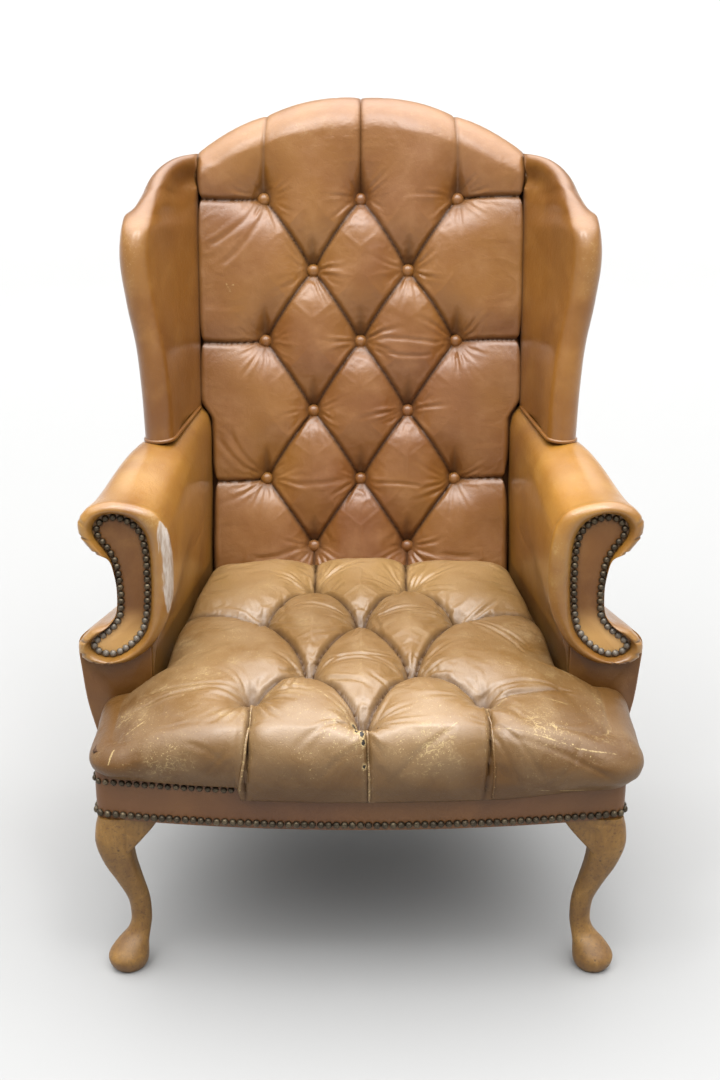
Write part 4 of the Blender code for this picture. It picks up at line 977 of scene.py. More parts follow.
def back_surface(columns, rows):
    """The back's plain cover, up the front and over the arched top, and its flat plan."""
    s, t = np.meshgrid(np.linspace(0, 1, columns + 1), np.linspace(0, 1, rows + 1))
    side = 2 * s - 1
    top = crest_z(side * 0.258, BACK_TOP_Z) - BACK_ROLL_HEIGHT + 0.012 * np.abs(side) ** 3
    rising = t < BACK_FRONT_SHARE
    front_z = lerp(BACK_BOTTOM_Z, top, np.clip(t / BACK_FRONT_SHARE, 0, 1))
    turn = math.pi * np.clip((t - BACK_FRONT_SHARE) / (1 - BACK_FRONT_SHARE), 0, 1)
    roll_z = lerp(top, crest_ledge(side * 0.261), (1 - np.cos(turn)) / 2) + BACK_ROLL_HEIGHT * np.sin(turn)
    z = np.where(rising, front_z, roll_z)
    half_depth = (PAD_THICK + POST_DEPTH) / 2
    y = back_y(z) + np.where(rising, 0, half_depth * (1 - np.cos(turn)))
    edge = np.clip((np.abs(side) - 0.962) / 0.038, 0, 1)
    tuck = 0.0070 * (1 - np.sqrt(1 - 0.995 * edge**2))
    y = y + np.where(rising, 1, np.cos(turn / 2) ** 2) * tuck
    z = z - np.where(rising, 0, np.sin(turn)) * tuck * 0.35
    x = side * back_half_width(z)
    flat = np.where(rising, z, top + 0.14 * (t - BACK_FRONT_SHARE) / (1 - BACK_FRONT_SHARE))
    return np.stack([x, y, z], axis=-1), x, flat, side


def draw_back():
    """The tufted inside back, closed behind, and where its buttons sit."""
    points, u, v, side = back_surface(206, 336)
    buttons = back_buttons()
    plan = {"reach": 0.062, "middle": sizes().back_swell, "crease": 0.0050, "turn": 0.0100, "lip": 0.0008,
            "pit": 0.0175, "pit_reach": 0.0270, "stretch": 0.66, "funnel": 0.0100, "funnel_length": 0.060}
    depth, folded = tufting(u, v, buttons, back_pleats(), plan)
    sideways = (0.05, -0.35, -0.8, -1.2, math.pi + 0.35, math.pi + 0.8, math.pi, -1.57, 0.5, math.pi - 0.5)
    depth = depth + gathers(u, v, buttons, 7, 13, 0.066, 0.0015, sideways)
    drags = [bowed((x, row_z(row) + dz), (end_x, row_z(row) + end_dz), bow)
             for row, x, dz, end_x, end_dz, bow in BACK_CREASES]
    depth = depth + creases(u, v, drags[:3], 0.0012, 0.0035) + creases(u, v, drags[3:], 0.0011, 0.0055)
    depth = depth + lumps(u, v, 0.11, 0.0016, 3)
    depth = depth * lerp(1.0, 0.30, smooth((v - 1.125) / 0.09))
    drawn = points - surface_normals(points) * depth[..., None]
    drawn[..., 0] = np.clip(drawn[..., 0], -back_half_width(drawn[..., 2]), back_half_width(drawn[..., 2]))
    rear_z = [crest_ledge(side[0] * 0.261), *(np.full(side[0].shape, z) for z in (BACK_WIDENING[1], BACK_WIDENING[0]))]
    rear_z.append(np.full(side[0].shape, BACK_BOTTOM_Z))
    rear = [np.stack([side[0] * back_half_width(z), back_y(z) + PAD_THICK - 0.0035, z], axis=-1) for z in rear_z]
    whole = np.concatenate([drawn, np.array(rear), drawn[:1]])
    marks, across, along = (np.zeros(whole.shape[:2]) for _ in range(3))
    # Painted shade: a dark funnel above each button, where its pit is in shadow, and dark sides where the cover tucks
    # in against the wings.
    dark = np.max([0.78 * bell(u - bx, 0.0045 + 0.30 * np.clip(v - bz, 0, 0.03)) * bell(v - bz - 0.010, 0.017)
                   for bx, bz in buttons], axis=0)
    marks[:len(drawn)] = np.maximum(np.maximum(folded, dark), 0.75 * smooth((np.abs(side) - 0.965) / 0.035))
    across[:len(drawn)], along[:len(drawn)] = u, v
    wear = np.zeros(whole.shape[:2])
    wear[:len(drawn)] = 0.35 * bell(v - 1.10, 0.05) + 0.18
    places = []
    for bx, bz in buttons:
        places.append((drawn[nearest(u, v, bx, bz)] + np.array([0, -0.0062, 0.0010]), (0, -1, LEAN * 0.5)))
    held = np.ones(whole.shape[:2])
    calm = 0.35 + 0.40 * smooth((button_distance(u, v, buttons) - 0.020) / 0.035)
    held[:len(drawn)] = np.maximum(calm, (folded > 0.72) | (np.abs(side) > 0.965) | (v < 0.405) | (v > 1.225))
    return sleeve(whole, fold=marks, wear=wear, held=held, across=across, along=along), places


def seat_buttons():
    return [place for row in SEAT_ROWS for place in row]


def seat_pleats():
    pleats = []
    for near, far in zip(SEAT_ROWS, SEAT_ROWS[1:]):
        for a in near:
            for b in far:
                if abs(a[0] - b[0]) < 0.10:
                    pleats.append((bowed(a, b, 0.007 if b[0] > a[0] else -0.007), 1.0))
    for x, y in SEAT_ROWS[0]:
        pleats.append(([(x, y), (x * 1.02, 0.25)], 1.0))
    for x, y in SEAT_ROWS[1][::2]:
        pleats.append((bowed((x, y), (2.05 * x, y + 0.030), math.copysign(0.006, x)), 1.0))
    pleats.append((bowed(SEAT_ROWS[3][2], (0.275, -0.268), -0.006), 0.30))
    return pleats


def front_pleats():
    """The three pleats that fall over the seat's front, in the cover's flat plan."""
    (lx, ly), (cx, cy), (rx, ry) = SEAT_ROWS[3]
    return [
        [(lx, ly), (lx + 0.001, ly - 0.060), (lx - 0.003, ly - 0.120), (lx - 0.010, ly - 0.170), (lx - 0.020, -0.60)],
        [(cx, cy), (cx + 0.004, cy - 0.040), (cx + 0.006, cy - 0.100), (cx + 0.005, -0.60)],
        [(rx, ry), (rx + 0.003, ry - 0.060), (rx + 0.004, ry - 0.120), (rx + 0.002, -0.60)],
    ]


def seat_half_width(y):
    between_arms = lerp(0.2840, 0.2400, (y + 0.195) / 0.350)
    return lerp(T_HALF, between_arms, smooth((y - T_END + 0.016) / 0.030))


def seat_plan(s, t):
    """Plan of the seat's top inside its rolled border, with rounded front corners."""
    side = 2 * s - 1
    line = front_face_y(side * T_HALF) + 0.003
    k = t * 27
    y = np.where(k <= 8, lerp(line, T_END - 0.020, k / 8), lerp(T_END - 0.020, T_END + 0.014, (k - 8) / 2))
    y = np.where(k > 10, lerp(T_END + 0.014, SEAT_REAR_Y, (k - 10) / 17), y)
    x = side * seat_half_width(y)
    a = np.clip((np.abs(x) - (T_HALF - T_CORNER)) / T_CORNER, 0, 1)
    b = np.clip((line + T_CORNER - y) / T_CORNER, 0, 1)
    round_x = np.sign(x) * (T_HALF - T_CORNER + T_CORNER * a * np.sqrt(1 - b * b / 2))
    round_y = line + T_CORNER - T_CORNER * b * np.sqrt(1 - a * a / 2)
    turned = (y < T_END - 0.030) & (a > 0) & (b > 0)
    return np.where(turned, round_x, x), np.where(turned, round_y, y)


def seat_crown(x, y):
    crown = lerp(0.4310, 0.4390, smooth((y + 0.25) / 0.35)) - 0.021 * np.clip((-0.22 - y) / 0.16, 0, 1.1) ** 2
    out = np.abs(x) / T_HALF
    crown = crown - lerp(0.031 * out**2.6, 0.059 * out**3.2, smooth((-0.090 - y) / 0.10))
    crown = crown - 0.012 * smooth((-x - 0.260) / 0.070) * smooth((-0.120 - y) / 0.080)
    tuck = np.clip(1 - (seat_half_width(y) - np.abs(x)) / 0.030, 0, 1) * smooth((y - T_END) / 0.02)
    rear = np.clip(1 - (SEAT_REAR_Y - y) / 0.030, 0, 1)
    return crown - 0.014 * (1 - np.sqrt(1 - 0.99 * tuck**2)) - 0.016 * (1 - np.sqrt(1 - 0.99 * rear**2))


def seat_depth(u, v, fade=1.0):
    """Depth and fold marks of the seat's leather over its flat plan."""
    plan = {"reach": 0.066, "middle": sizes().seat_swell, "crease": 0.0065, "turn": 0.0130, "lip": 0.0016,
            "pit": 0.0210, "pit_reach": 0.0260, "stretch": 0.85, "funnel": 0.0050, "funnel_length": 0.036}
    buttons = seat_buttons()
    depth, folded = tufting(u, v, buttons, seat_pleats(), plan)
    for line in front_pleats():
        gap, _ = line_distance(u, v, line)
        away = smooth((line[0][1] - 0.020 - v) / 0.03)
        rise = np.clip(1 - gap / 0.050, 0, 1)
        swell = plan["middle"] * fade * (1 - np.sqrt(1 - rise * rise * 0.998))
        path = np.array(line)
        offset = u - np.interp(-v, -path[:, 1], path[:, 0])
        step = np.where(offset > 0, 0.0030 * bell(offset, 0.010), -0.0016 * bell(offset + 0.004, 0.006)) * away
        depth = np.maximum(depth, swell + 0.0030 * np.exp(-gap / 0.0035)) + step
        folded = np.maximum(folded, 0.80 * np.exp(-((gap / 0.0026) ** 1.5)))
    depth = depth + gathers(u, v, buttons, 21, 11, 0.085, 0.0024)
    drags = [bowed(*line) for line in SEAT_CREASES]
    depth = depth + creases(u, v, drags, 0.0013, 0.0038) + lumps(u, v, 0.10, 0.0026, 5)
    # Painted shade: a dark mark round each button's pit.
    pits = np.max([0.80 * bell(np.hypot(u - bx, (v - by - 0.003) * 0.8), 0.0095) for bx, by in buttons], axis=0)
    return depth, np.maximum(folded, pits)


def seat_wear(u, v):
    """Rubbed most at the front: beside the pleats, at the middle and over the right corner."""
    wear = 0.12 + 0.28 * smooth((-0.26 - v) / 0.10)
    for x, y, size, strength in ((-0.02, -0.40, 0.060, 0.75), (0.27, -0.38, 0.085, 0.60), (0.09, -0.43, 0.070, 0.65),
                                 (-0.22, -0.27, 0.050, 0.65), (-0.27, -0.42, 0.080, 0.60), (0.13, -0.27, 0.050, 0.30),
                                 (-0.07, -0.44, 0.060, 0.60), (0.25, -0.46, 0.070, 0.50)):
        wear = np.maximum(wear, 0.12 + strength * bell(np.hypot(u - x, v - y), size))
    for line in front_pleats():
        gap, _ = line_distance(u, v, line)
        wear = np.maximum(wear, 0.80 * bell(gap, 0.014) * smooth((-0.34 - v) / 0.02))
    return wear


def outward_of(edge):
    """Level directions away from a closed edge, smoothed round its corners."""
    run = np.roll(edge, -3, axis=0) - np.roll(edge, 3, axis=0)
    outward = np.stack([run[:, 1], -run[:, 0], np.zeros(len(edge))], axis=1)
    for _ in range(6):
        outward = outward / np.maximum(np.linalg.norm(outward, axis=1, keepdims=True), 1e-9)
        outward = (np.roll(outward, 1, axis=0) + 2 * outward + np.roll(outward, -1, axis=0)) / 4
    return outward / np.linalg.norm(outward, axis=1, keepdims=True)


def rail_foot(edge, outward):
    """Where the cover's underside meets the seat rail, out from each point of the edge."""
    foot = edge.copy()
    reach = np.zeros(len(edge))
    for _ in range(80):
        x, y = np.abs(edge[:, 0] + outward[:, 0] * reach), edge[:, 1] + outward[:, 1] * reach
        reach = reach + 0.001 * ((x < side_rail_x(y) + 0.0006) & (y > front_face_y(x) - 0.0006))
    foot[:, :2] = edge[:, :2] + outward[:, :2] * reach[:, None]
    return foot


def pleat_edge(line, u, v, drawn, edge, hung):
    """The path of a front pleat over the seat's top and down the hanging part of the cover."""
    spots = []
    for x, y in even_path(np.array(line), 0.004)[3:]:
        if y > -0.378:
            spots.append(drawn[nearest(u, v, x, y)])
            continue
        place = np.interp(x, edge[:hung.shape[1], 0], np.arange(hung.shape[1]))
        k, share = int(place), place - int(place)
        strand = lerp(hung[:, k], hung[:, k + 1], share)
        fallen = lerp(edge[k, 1], edge[k + 1, 1], share) - y
        arcs = arc_lengths(strand)
        if fallen > arcs[-1]:
            break
        spots.append([np.interp(fallen, arcs, strand[:, axis]) for axis in range(3)])
    return np.array(spots)


def draw_seat():
    """The seat cover: its tufted top, the roll down to the hem, and its underside."""
    columns, rows, rings = 224, 194, 28
    s, t = np.meshgrid(np.linspace(0, 1, columns + 1), np.linspace(0, 1, rows + 1))
    u, v = seat_plan(s, t)
    top = np.stack([u, v, seat_crown(u, v)], axis=-1)
    depth, folded = seat_depth(u, v)
    # Wear and painted highlight: the pillow tops are rubbed paler, which also stands in for part of their sheen.
    wear = np.maximum(seat_wear(u, v), 0.55 * (1 - smooth(depth / 0.009)) * smooth((0.10 - v) / 0.1))
    drawn = top + np.array([0, 0, -1.0]) * depth[..., None]

    def rim(values):
        return np.concatenate([values[0, :], values[1:, -1], values[-1, -2::-1], values[-2:0:-1, 0]])

    edge, edge_drawn = rim(top), rim(drawn)
    count = len(edge)
    outward = outward_of(edge)
    free = (1 - smooth((edge[:, 1] - (T_END - 0.014)) / 0.010))[:, None]
    # How far out and what share of the way down the cover is, from its top's edge to its hem
    fronts = [(0, 0), (0.0155, 0.055), (0.029, 0.21), (0.0370, 0.46), (0.0345, 0.75), (0.022, 1.0)]
    sides = [(0, 0), (0.016, 0.060), (0.029, 0.22), (0.037, 0.48), (0.036, 0.77), (0.031, 1.0)]
    share = np.abs(outward[:, :1]) ** 2
    corner = 1 + 0.22 * np.clip(4 * share * (1 - share), 0, 1)
    across = edge[:, :1]
    sag = 1 + 0.18 * smooth((np.abs(across) - 0.20) / 0.12) * np.sign(across)
    beside = 0.0018 + 0.0107 * (1 - smooth((edge[:, 1:2] - T_END) / 0.010))
    hem_z = HEM_Z - 0.0015 + 0.0190 * smooth((-0.157 - across) / 0.006) + 0.0080 * smooth((across - 0.18) / 0.13)
    layers, folds, wears, flats = [edge_drawn], [rim(folded)], [rim(wear)], [edge[:, :2]]
    gone = np.zeros(count)
    before = edge
    for ring in range(1, rings + 1):
        q = (ring / rings) ** 0.9 * 5
        front, flank = spline(fronts, np.array([q]))[0], spline(sides, np.array([q]))[0]
        ahead = spline(fronts, np.array([min(5.0, q + 0.2)]))[0] - spline(fronts, np.array([max(0.0, q - 0.2)]))[0]
        hanging = edge + outward * (lerp(front[0], flank[0], share) * corner * sag)
        drop = lerp(front[1], flank[1], share)
        hanging[:, 2:] = lerp(edge[:, 2:], hem_z, drop)
        tucked = edge + outward * beside * min(1.0, 2.5 * ring / rings)
        tucked[:, 2:] = lerp(edge[:, 2:] - 0.002, SEAT_BASE_Z + 0.004, ring / rings)
        plain = lerp(tucked, hanging, free)
        gone = gone + np.linalg.norm(plain - before, axis=1)
        before = plain
        flat = edge[:, :2] + outward[:, :2] * gone[:, None]
        fade = lerp(1.0, 0.40, smooth((gone - 0.05) / 0.10))
        deep, fold = seat_depth(flat[:, 0], flat[:, 1], fade)
        low = smooth((1 - drop[:, 0]) / 0.12)
        slope = min(math.pi / 2, math.atan2(ahead[1] * 0.125, ahead[0]))
        facing = outward * math.sin(slope) + np.array([0, 0, math.cos(slope)])
        layers.append(plain - facing * (deep * free[:, 0] * low * fade)[:, None])
        flats.append(flat)
        folds.append(fold)
        wears.append(seat_wear(flat[:, 0], flat[:, 1]) * np.clip(1.1 - 0.6 * gone / 0.12, 0.3, 1) * free[:, 0])
    hem = layers[-1]
    inner = lerp(hem, rail_foot(edge, outward), free * 0.92)
    inner[:, 2] = hem[:, 2] + 0.0022
    layers += [inner, np.stack([inner[:, 0], inner[:, 1], np.full(count, SEAT_BASE_Z)], axis=1)]
    # Painted shade: the underside, tucked in under the hem, is marked dark.
    folds += [np.full(count, 0.9)] * 2
    wears += [np.zeros(count)] * 2
    flats += [flats[-1]] * 2
    ringed, ring_fold, ring_wear, ring_flat = (
        np.concatenate([np.array(m), np.array(m)[:, :1]], axis=1) for m in (layers, folds, wears, flats))

    def calm(x, y):
        return 0.60 * smooth((button_distance(x, y, seat_buttons()) - 0.028) / 0.035)

    beside_arm = (v > T_END - 0.004) & (seat_half_width(v) - np.abs(u) < 0.006)
    held = np.maximum((folded > 0.72) | beside_arm | (v > SEAT_REAR_Y - 0.006), calm(u, v))
    order = np.arange(len(ringed))[:, None]
    fixed = (ring_fold > 0.72) | (order > rings - 4) | (ringed[..., 1] > T_END - 0.012)
    flank = 0.65 * smooth((np.abs(ringed[..., 0]) - 0.30) / 0.04) * smooth(order / 6)
    fixed = np.maximum(np.maximum(fixed, flank), 0.9 * smooth((order - rings + 9) / 6))
    fixed = np.maximum(fixed, calm(ring_flat[..., 0], ring_flat[..., 1]))
    bm = new_sheet(drawn, fold=folded, wear=wear, held=held, across=u, along=v)
    add_sheet(bm, ringed, fold=ring_fold, wear=ring_wear, held=fixed, across=ring_flat[..., 0], along=ring_flat[..., 1])
    weld(bm)
    close_ends(bm)
    places = [(drawn[nearest(u, v, *button)] + np.array([0, 0, 0.0012]), (0, -0.15, 1)) for button in seat_buttons()]
    hung = np.array(layers)[:rings + 1, :columns + 1]
    return bm, places, [pleat_edge(line, u, v, drawn, edge, hung) for line in front_pleats()]


def arm_section(front, rear, u, y):
    """A point of an arm cover's section at depth y. Its height settles before its width does."""
    share = (y - ARM_COVER_Y) / (ARM_SETTLED_Y - ARM_COVER_Y)
    a, b = spline(front, u), spline(rear, u)
    x = lerp(a[..., 0], b[..., 0], share)
    z = lerp(a[..., 1], b[..., 1], smooth((y - ARM_COVER_Y) / 0.21))
    return x, z


def arm_cover(front, rear, end_depth, columns, rows):
    """A padded cover that follows the arm's section from the front to the leaning back."""
    u, t = np.meshgrid(np.linspace(0, len(front) - 1, columns + 1), np.linspace(0, 1, rows + 1))
    z_end = arm_section(front, rear, u, ARM_SETTLED_Y)[1]
    y = lerp(ARM_COVER_Y, back_y(z_end) + end_depth(u), t)
    x, z = arm_section(front, rear, u, np.minimum(y, ARM_SETTLED_Y))
    points = np.stack([x, y, z], axis=-1)
    return points, surface_normals(points), u, y, z


def closed_cover(points, normal, thickness, **marks):
    """The cover and its lining, joined round their edges."""
    bm = new_sheet(points, **marks)
    add_sheet(bm, points - normal * thickness)
    bmesh.ops.bridge_loops(bm, edges=[e for e in bm.edges if e.is_boundary])
    return bm


def scuff_mark(points):
    """A long scrape down the front inner corner of one arm."""
    line = np.array([(0.2755, -0.2010, 0.6240), (0.2710, -0.2020, 0.6000), (0.2675, -0.2010, 0.5700),
                     (0.2665, -0.2010, 0.5400), (0.2675, -0.2010, 0.5050), (0.2705, -0.2020, 0.4700)])
    fine = spline(line, np.linspace(0, 5, 60))
    gap = np.min([np.linalg.norm(points - place, axis=-1) for place in fine], axis=0)
    z = points[..., 2]
    width = 0.0115 * smooth((0.632 - z) / 0.035) * smooth((z - 0.462) / 0.060) + 1e-4
    return np.clip(1.25 - gap / width, 0, 1)


def draw_inside_arm(scuff):
    def end_depth(u):
        return lerp(PAD_THICK - 2 * GAP, PAD_THICK + POST_DEPTH, smooth((u - 10.7) / 0.3))

    points, normal, u, y, z = arm_cover(INSIDE_ARM_FRONT, INSIDE_ARM_REAR, end_depth, 150, 96)
    depth = lumps(y, z + u * 0.01, 0.16, 0.0012, 11)
    drags = [bowed((0.120, 0.520), (0.020, 0.500), 0.010), bowed((0.150, 0.560), (0.060, 0.590), 0.006),
             bowed((-0.150, 0.440), (-0.060, 0.430), 0.006)]
    depth = (depth + creases(y, z, drags, 0.0007, 0.0050) * (u < 8)) * smooth((y - ARM_COVER_Y) / 0.03)
    points = points - normal * depth[..., None]
    wear = 0.16 + 0.30 * bell(u - 9.5, 2.0) * smooth((0.05 - y) / 0.15)
    # Painted shade: the fold mark darkens the cover along the seat and along the back, where the parts meet.
    seat_line = 0.55 * (1 - smooth((z - 0.418) / 0.010)) * (u < 5)
    rear_line = 0.50 * smooth((y - back_y(z) + 0.006) / 0.006) * (u < 9)
    marks = {"fold": np.maximum(seat_line, rear_line), "wear": wear}
    if scuff:
        marks["scuff"] = scuff_mark(points)
    return closed_cover(points, normal, 0.012, **marks)


def draw_outside_arm():
    points, normal, u, y, z = arm_cover(OUTSIDE_ARM_FRONT, OUTSIDE_ARM_REAR,
                                        lambda station: PAD_THICK + POST_DEPTH, 90, 80)
    depth = lumps(y, z, 0.20, 0.0014, 13)
    edge = np.minimum(np.minimum(u, 10 - u) / 1.2, 1)
    points = points - normal * (depth * edge)[..., None]
    return closed_cover(points, normal, 0.0045, fold=0.0, wear=0.18)


def draw_arm_roll(scuff):
    """The padded roll round the arm's front, with small pleats where it turns its tight ends."""
    back, seat = ARM_ROLL_BACK_Y, ARM_ROLL_SEAT_Y
    stations, _ = even_stations(OUTLINE, 260)
    u = np.concatenate([stations, [stations[0] + len(OUTLINE)]])
    outline = spline(OUTLINE, u, True)
    nail, outward = loop_frame(NAIL_LINE, u)
    edge = nail + outward * 0.0050
    room = np.linalg.norm(outline - edge, axis=1)
    lift = ARM_ROLL_BULGE * np.minimum(1.0, room / 0.012)
    shares = [(outline, back), (outline, seat + 0.35 * lift), (lerp(edge, outline, 0.72), seat + 0.90 * lift),
              (lerp(edge, outline, 0.40), seat + 0.98 * lift), (lerp(edge, outline, 0.12), seat + 0.50 * lift),
              (edge, seat)]
    cage = np.array([np.stack([p[:, 0], np.broadcast_to(y, u.shape), p[:, 1]], axis=1) for p, y in shares])
    q = np.linspace(0, 5, 27)
    rounded = np.array([spline(cage, np.array([value]))[0] for value in q])
    pleats = [(0.0, 1.0), (20.55, 1.3), (19.65, 1.0), (10.9, 0.8), (12.0, 1.4), (13.15, 1.2), (21.4, 0.7)]
    groove = np.zeros(u.shape)
    dark = np.zeros(u.shape)
    for station, strength in pleats:
        gap = np.abs((u - station + 11) % 22 - 11)
        groove = groove + 0.0016 * strength * bell(gap, 0.085) - 0.0006 * strength * bell(gap - 0.16, 0.08)
        dark = np.maximum(dark, min(1.0, strength) * bell(gap, 0.055))
    over = bell(q - 1.5, 1.5)
    beyond = loop_frame(OUTLINE, u)[1]
    away = np.stack([beyond[:, 0], np.full(u.shape, -0.6), beyond[:, 1]], axis=1)
    rounded = rounded - (over[:, None] * groove[None, :])[..., None] * away[None]
    lining = np.array([np.stack([nail[:, 0], np.full(u.shape, y), nail[:, 1]], axis=1) for y in (seat, back)])
    whole = np.concatenate([rounded, lining, rounded[:1]])
    # Painted shade: the roll's small pleats, and its edge where it tucks in at the nails, are marked dark.
    fold = np.zeros(whole.shape[:2])
    fold[:len(q)] = over[:, None] * dark[None, :] * 0.8
    fold[len(q) - 3:] = np.maximum(fold[len(q) - 3:], 0.45)
    wear = np.full(whole.shape[:2], 0.30) + 0.35 * np.concatenate([bell(q - 2.0, 1.2), [0, 0, 0]])[:, None]
    marks = {"fold": fold, "wear": wear}
    if scuff:
        marks["scuff"] = scuff_mark(whole)
    bm = new_sheet(whole, **marks)
    weld(bm)
    return bm


def draw_arm_panel():
    """The flat panel inside the nails, slightly domed."""
    stations, _ = even_stations(NAIL_LINE, 150)
    here, outward = loop_frame(NAIL_LINE, stations)
    inset = here - outward * 0.0006
    bm = bmesh.new()
    front = thicken(bm, [(x, ARM_ROLL_SEAT_Y + 0.0060, z) for x, z in inset], (0, -0.0060, 0))
    panel = next(g for g in front if isinstance(g, bmesh.types.BMFace))
    bmesh.ops.inset_region(bm, faces=[panel], thickness=0.0012, use_even_offset=True)
    bmesh.ops.translate(bm, vec=(0, -0.0006, 0), verts=panel.verts[:])
    bmesh.ops.triangulate(bm, faces=[f for f in bm.faces if len(f.verts) > 4], ngon_method="EAR_CLIP")
    return bm


def arm_nail_places():
    stations, total = even_stations(NAIL_LINE, 200)
    count = round(total / sizes().arm_nail_pitch)
    stations, _ = even_stations(NAIL_LINE, count)
    rng = random.Random(5)
    places = []
    for x, z in spline(NAIL_LINE, stations, True):
        tilt = (rng.uniform(-0.09, 0.09), -1, rng.uniform(-0.09, 0.09))
        head = (x + rng.uniform(-0.0004, 0.0004), ARM_ROLL_SEAT_Y - 0.0004, z + rng.uniform(-0.0004, 0.0004))
        places.append((head, tilt))
    return places


def draw_arm_skirt():
    """The flat front below the lower scroll, down behind the seat's corner to the rail."""
    under, outward = loop_frame(OUTLINE, np.array([20.5, 20.8, 21.0, 21.5, 22.0, 22.5, 23.0, 23.5, 24.0]))
    below = under + outward * 0.0006
    outline = [(0.3000, 0.3480), (0.3410, 0.3480), (0.3410, 0.2470), (0.3725, 0.2470), (0.3840, 0.2900),
               (0.3950, 0.3400), (0.4005, 0.3900), (0.4030, 0.4220)] + [tuple(p) for p in below]
    bm = bmesh.new()
    thicken(bm, [(x, ARM_COVER_Y - 0.0002, z) for x, z in outline], (0, -0.0040, 0))
    ease(bm, [e for e in bm.edges if all(v.co.y < ARM_COVER_Y - 0.003 for v in e.verts)], 0.0016, 2)
    return bm


def wing_ray(w):
    """Root, centre of the roll, outward normal, direction and length of the inner face at station w."""
    def edge_at(k):
        return Vector(spline(WING_EDGE, np.array([k]))[0])

    edge = edge_at(w)
    rise = min(max((w - 4.5) / 5.5, 0.0), 1.0)
    root_z = edge.z if w <= 4.5 else lerp(edge_at(4.5).z, WING_ROOT_TOP, float(smooth(rise)))
    root = Vector((WING_ROOT_X, back_y(root_z), root_z))
    up = float(smooth((w - 4.0) / 5.0))
    lean = Vector((1.0 - up, 0.0, up))
    centre = edge - lean.normalized() * WING_ROLL
    centre.x = max(centre.x, WING_ROOT_X)
    along = (centre - root).normalized()
    outward = (edge_at(min(w + 0.05, 12)) - edge_at(max(w - 0.05, 0))).cross(along).normalized()
    if outward.x + outward.y < 0:
        outward = -outward
    outward = (outward - along * outward.dot(along)).normalized()
    inner_end = centre - outward * WING_ROLL
    inner_end.x = max(inner_end.x, WING_ROOT_X)
    return root, centre, outward, (inner_end - root).normalized(), (inner_end - root).length


def round_roll(centre, outward, direction, steps):
    """Points half round the wing's roll."""
    angles = [math.pi * k / steps for k in range(steps + 1)]
    return [centre - outward * (WING_ROLL * math.cos(a)) + direction * (WING_ROLL * math.sin(a)) for a in angles]


def draw_wing():
    """A padded wing: flat inside, a thick roll round its edge and a plain outside."""
    stations = np.linspace(0, 12, 150)
    rows = []
    for w in stations:
        root, centre, outward, direction, length_in = wing_ray(float(w))
        section = [root + Vector((0.0, 0.040, 0.0)), root + Vector((0.0, 0.010, 0.0))]
        for k in range(20):
            share = k / 20
            hollow = 0.006 * math.sin(math.pi * share) ** 2 - 0.003 * (1 - min(1.0, share / 0.10)) ** 2
            section.append(root + direction * (length_in * share) + outward * hollow)
        section += round_roll(centre, outward, direction, 26)
        top = float(spline(WING_EDGE, np.array([w]))[0][2])
        z = lerp(root.z, top - 0.012, float(smooth((w - 4.5) / 5)))
        z = lerp(z, min(z, WING_HEEL_TOP), float(smooth((w - 7.0) / 4.5)))
        behind = back_y(z) + PAD_THICK
        heel = Vector((WING_REAR_X - 0.004, behind + POST_DEPTH, z))
        last = section[-1]
        for k in range(1, 17):
            share = k / 16
            bulge = outward * (0.006 * math.sin(math.pi * share))
            section.append(last.lerp(heel, share) + bulge)
        section.append(Vector((POST_OUTER_X + GAP, behind + POST_DEPTH, z)))
        section.append(Vector((POST_OUTER_X + GAP, behind - GAP, z)))
        section.append(section[0].copy())
        for point in section:
            point.x = max(point.x, WING_ROOT_X)
        rows.append([tuple(point) for point in section])
    points = np.array(rows)
    normal = surface_normals(points)
    w, k = np.meshgrid(stations, np.arange(points.shape[1]), indexing="ij")
    soft = lumps(points[..., 1] + points[..., 0], points[..., 2], 0.13, 0.0014, 17) * (k > 4) * (k < 62)
    points = points - normal * (soft * smooth(w / 0.6) * smooth((12 - w) / 0.6))[..., None]
    seam = bell(k - 48.5, 0.8)
    # Painted shade where the wing meets the back; a dark seam along the roll's outer edge.
    fold = np.maximum(0.80 * (1 - smooth((k - 1.5) / 2.5)), 0.55 * seam)
    wear = 0.12 + 0.55 * bell(k - 35, 9) * bell(w - 4.6, 2.2)
    return sleeve(points.transpose(1, 0, 2), fold=fold.T, wear=wear.T)


def rail_path(offset, corner=0.012, steps=40):
    """The seat frame's outline in plan, from the left side round the front to the right side."""
    half = RAIL_HALF - corner
    x = np.linspace(-half, half, 2 * steps + 1)
    slope = 2 * FRONT_BOW * x / RAIL_HALF**2
    run = np.hypot(1, slope)
    front = np.stack([x + offset * slope / run, front_face_y(x) - offset / run], axis=1)
    centre = (half, front_face_y(half) + corner)
    turn = np.radians(np.linspace(15, 90, 6))
    arc = np.stack([centre[0] + (corner + offset) * np.sin(turn), centre[1] - (corner + offset) * np.cos(turn)], axis=1)
    end_y = ARM_COVER_Y - 0.0040
    ys = np.array([FRONT_BACK_Y, -0.300, -0.270, -0.240, -0.215, end_y])
    flank = np.stack([side_rail_x(ys) + offset, ys], axis=1)
    right = np.concatenate([arc, flank])
    left = right[::-1] * np.array([-1, 1])
    return np.concatenate([left, front, right])


def rail_nail_places(height, offset, pitch, seed, end_x=9.0):
    """A row of nails along the rail, as far as end_x, each a little out of line."""
    path = rail_path(offset, steps=60)
    lengths = arc_lengths(path)

    def at(goal):
        return np.array([np.interp(goal, lengths, path[:, axis]) for axis in (0, 1)])

    count = int(lengths[-1] / pitch)
    start = (lengths[-1] - (count - 1) * pitch) / 2
    rng = random.Random(seed)
    places = []
    for k in range(count):
        goal = start + k * pitch + rng.uniform(-0.0005, 0.0005)
        x, y = at(goal)
        run = at(goal + 0.002) - at(goal - 0.002)
        if x < end_x:
            tilt = rng.uniform(-0.08, 0.08)
            places.append(((x, y, height + rng.uniform(-0.0004, 0.0004)), (run[1], -run[0], tilt * math.hypot(*run))))
    return places


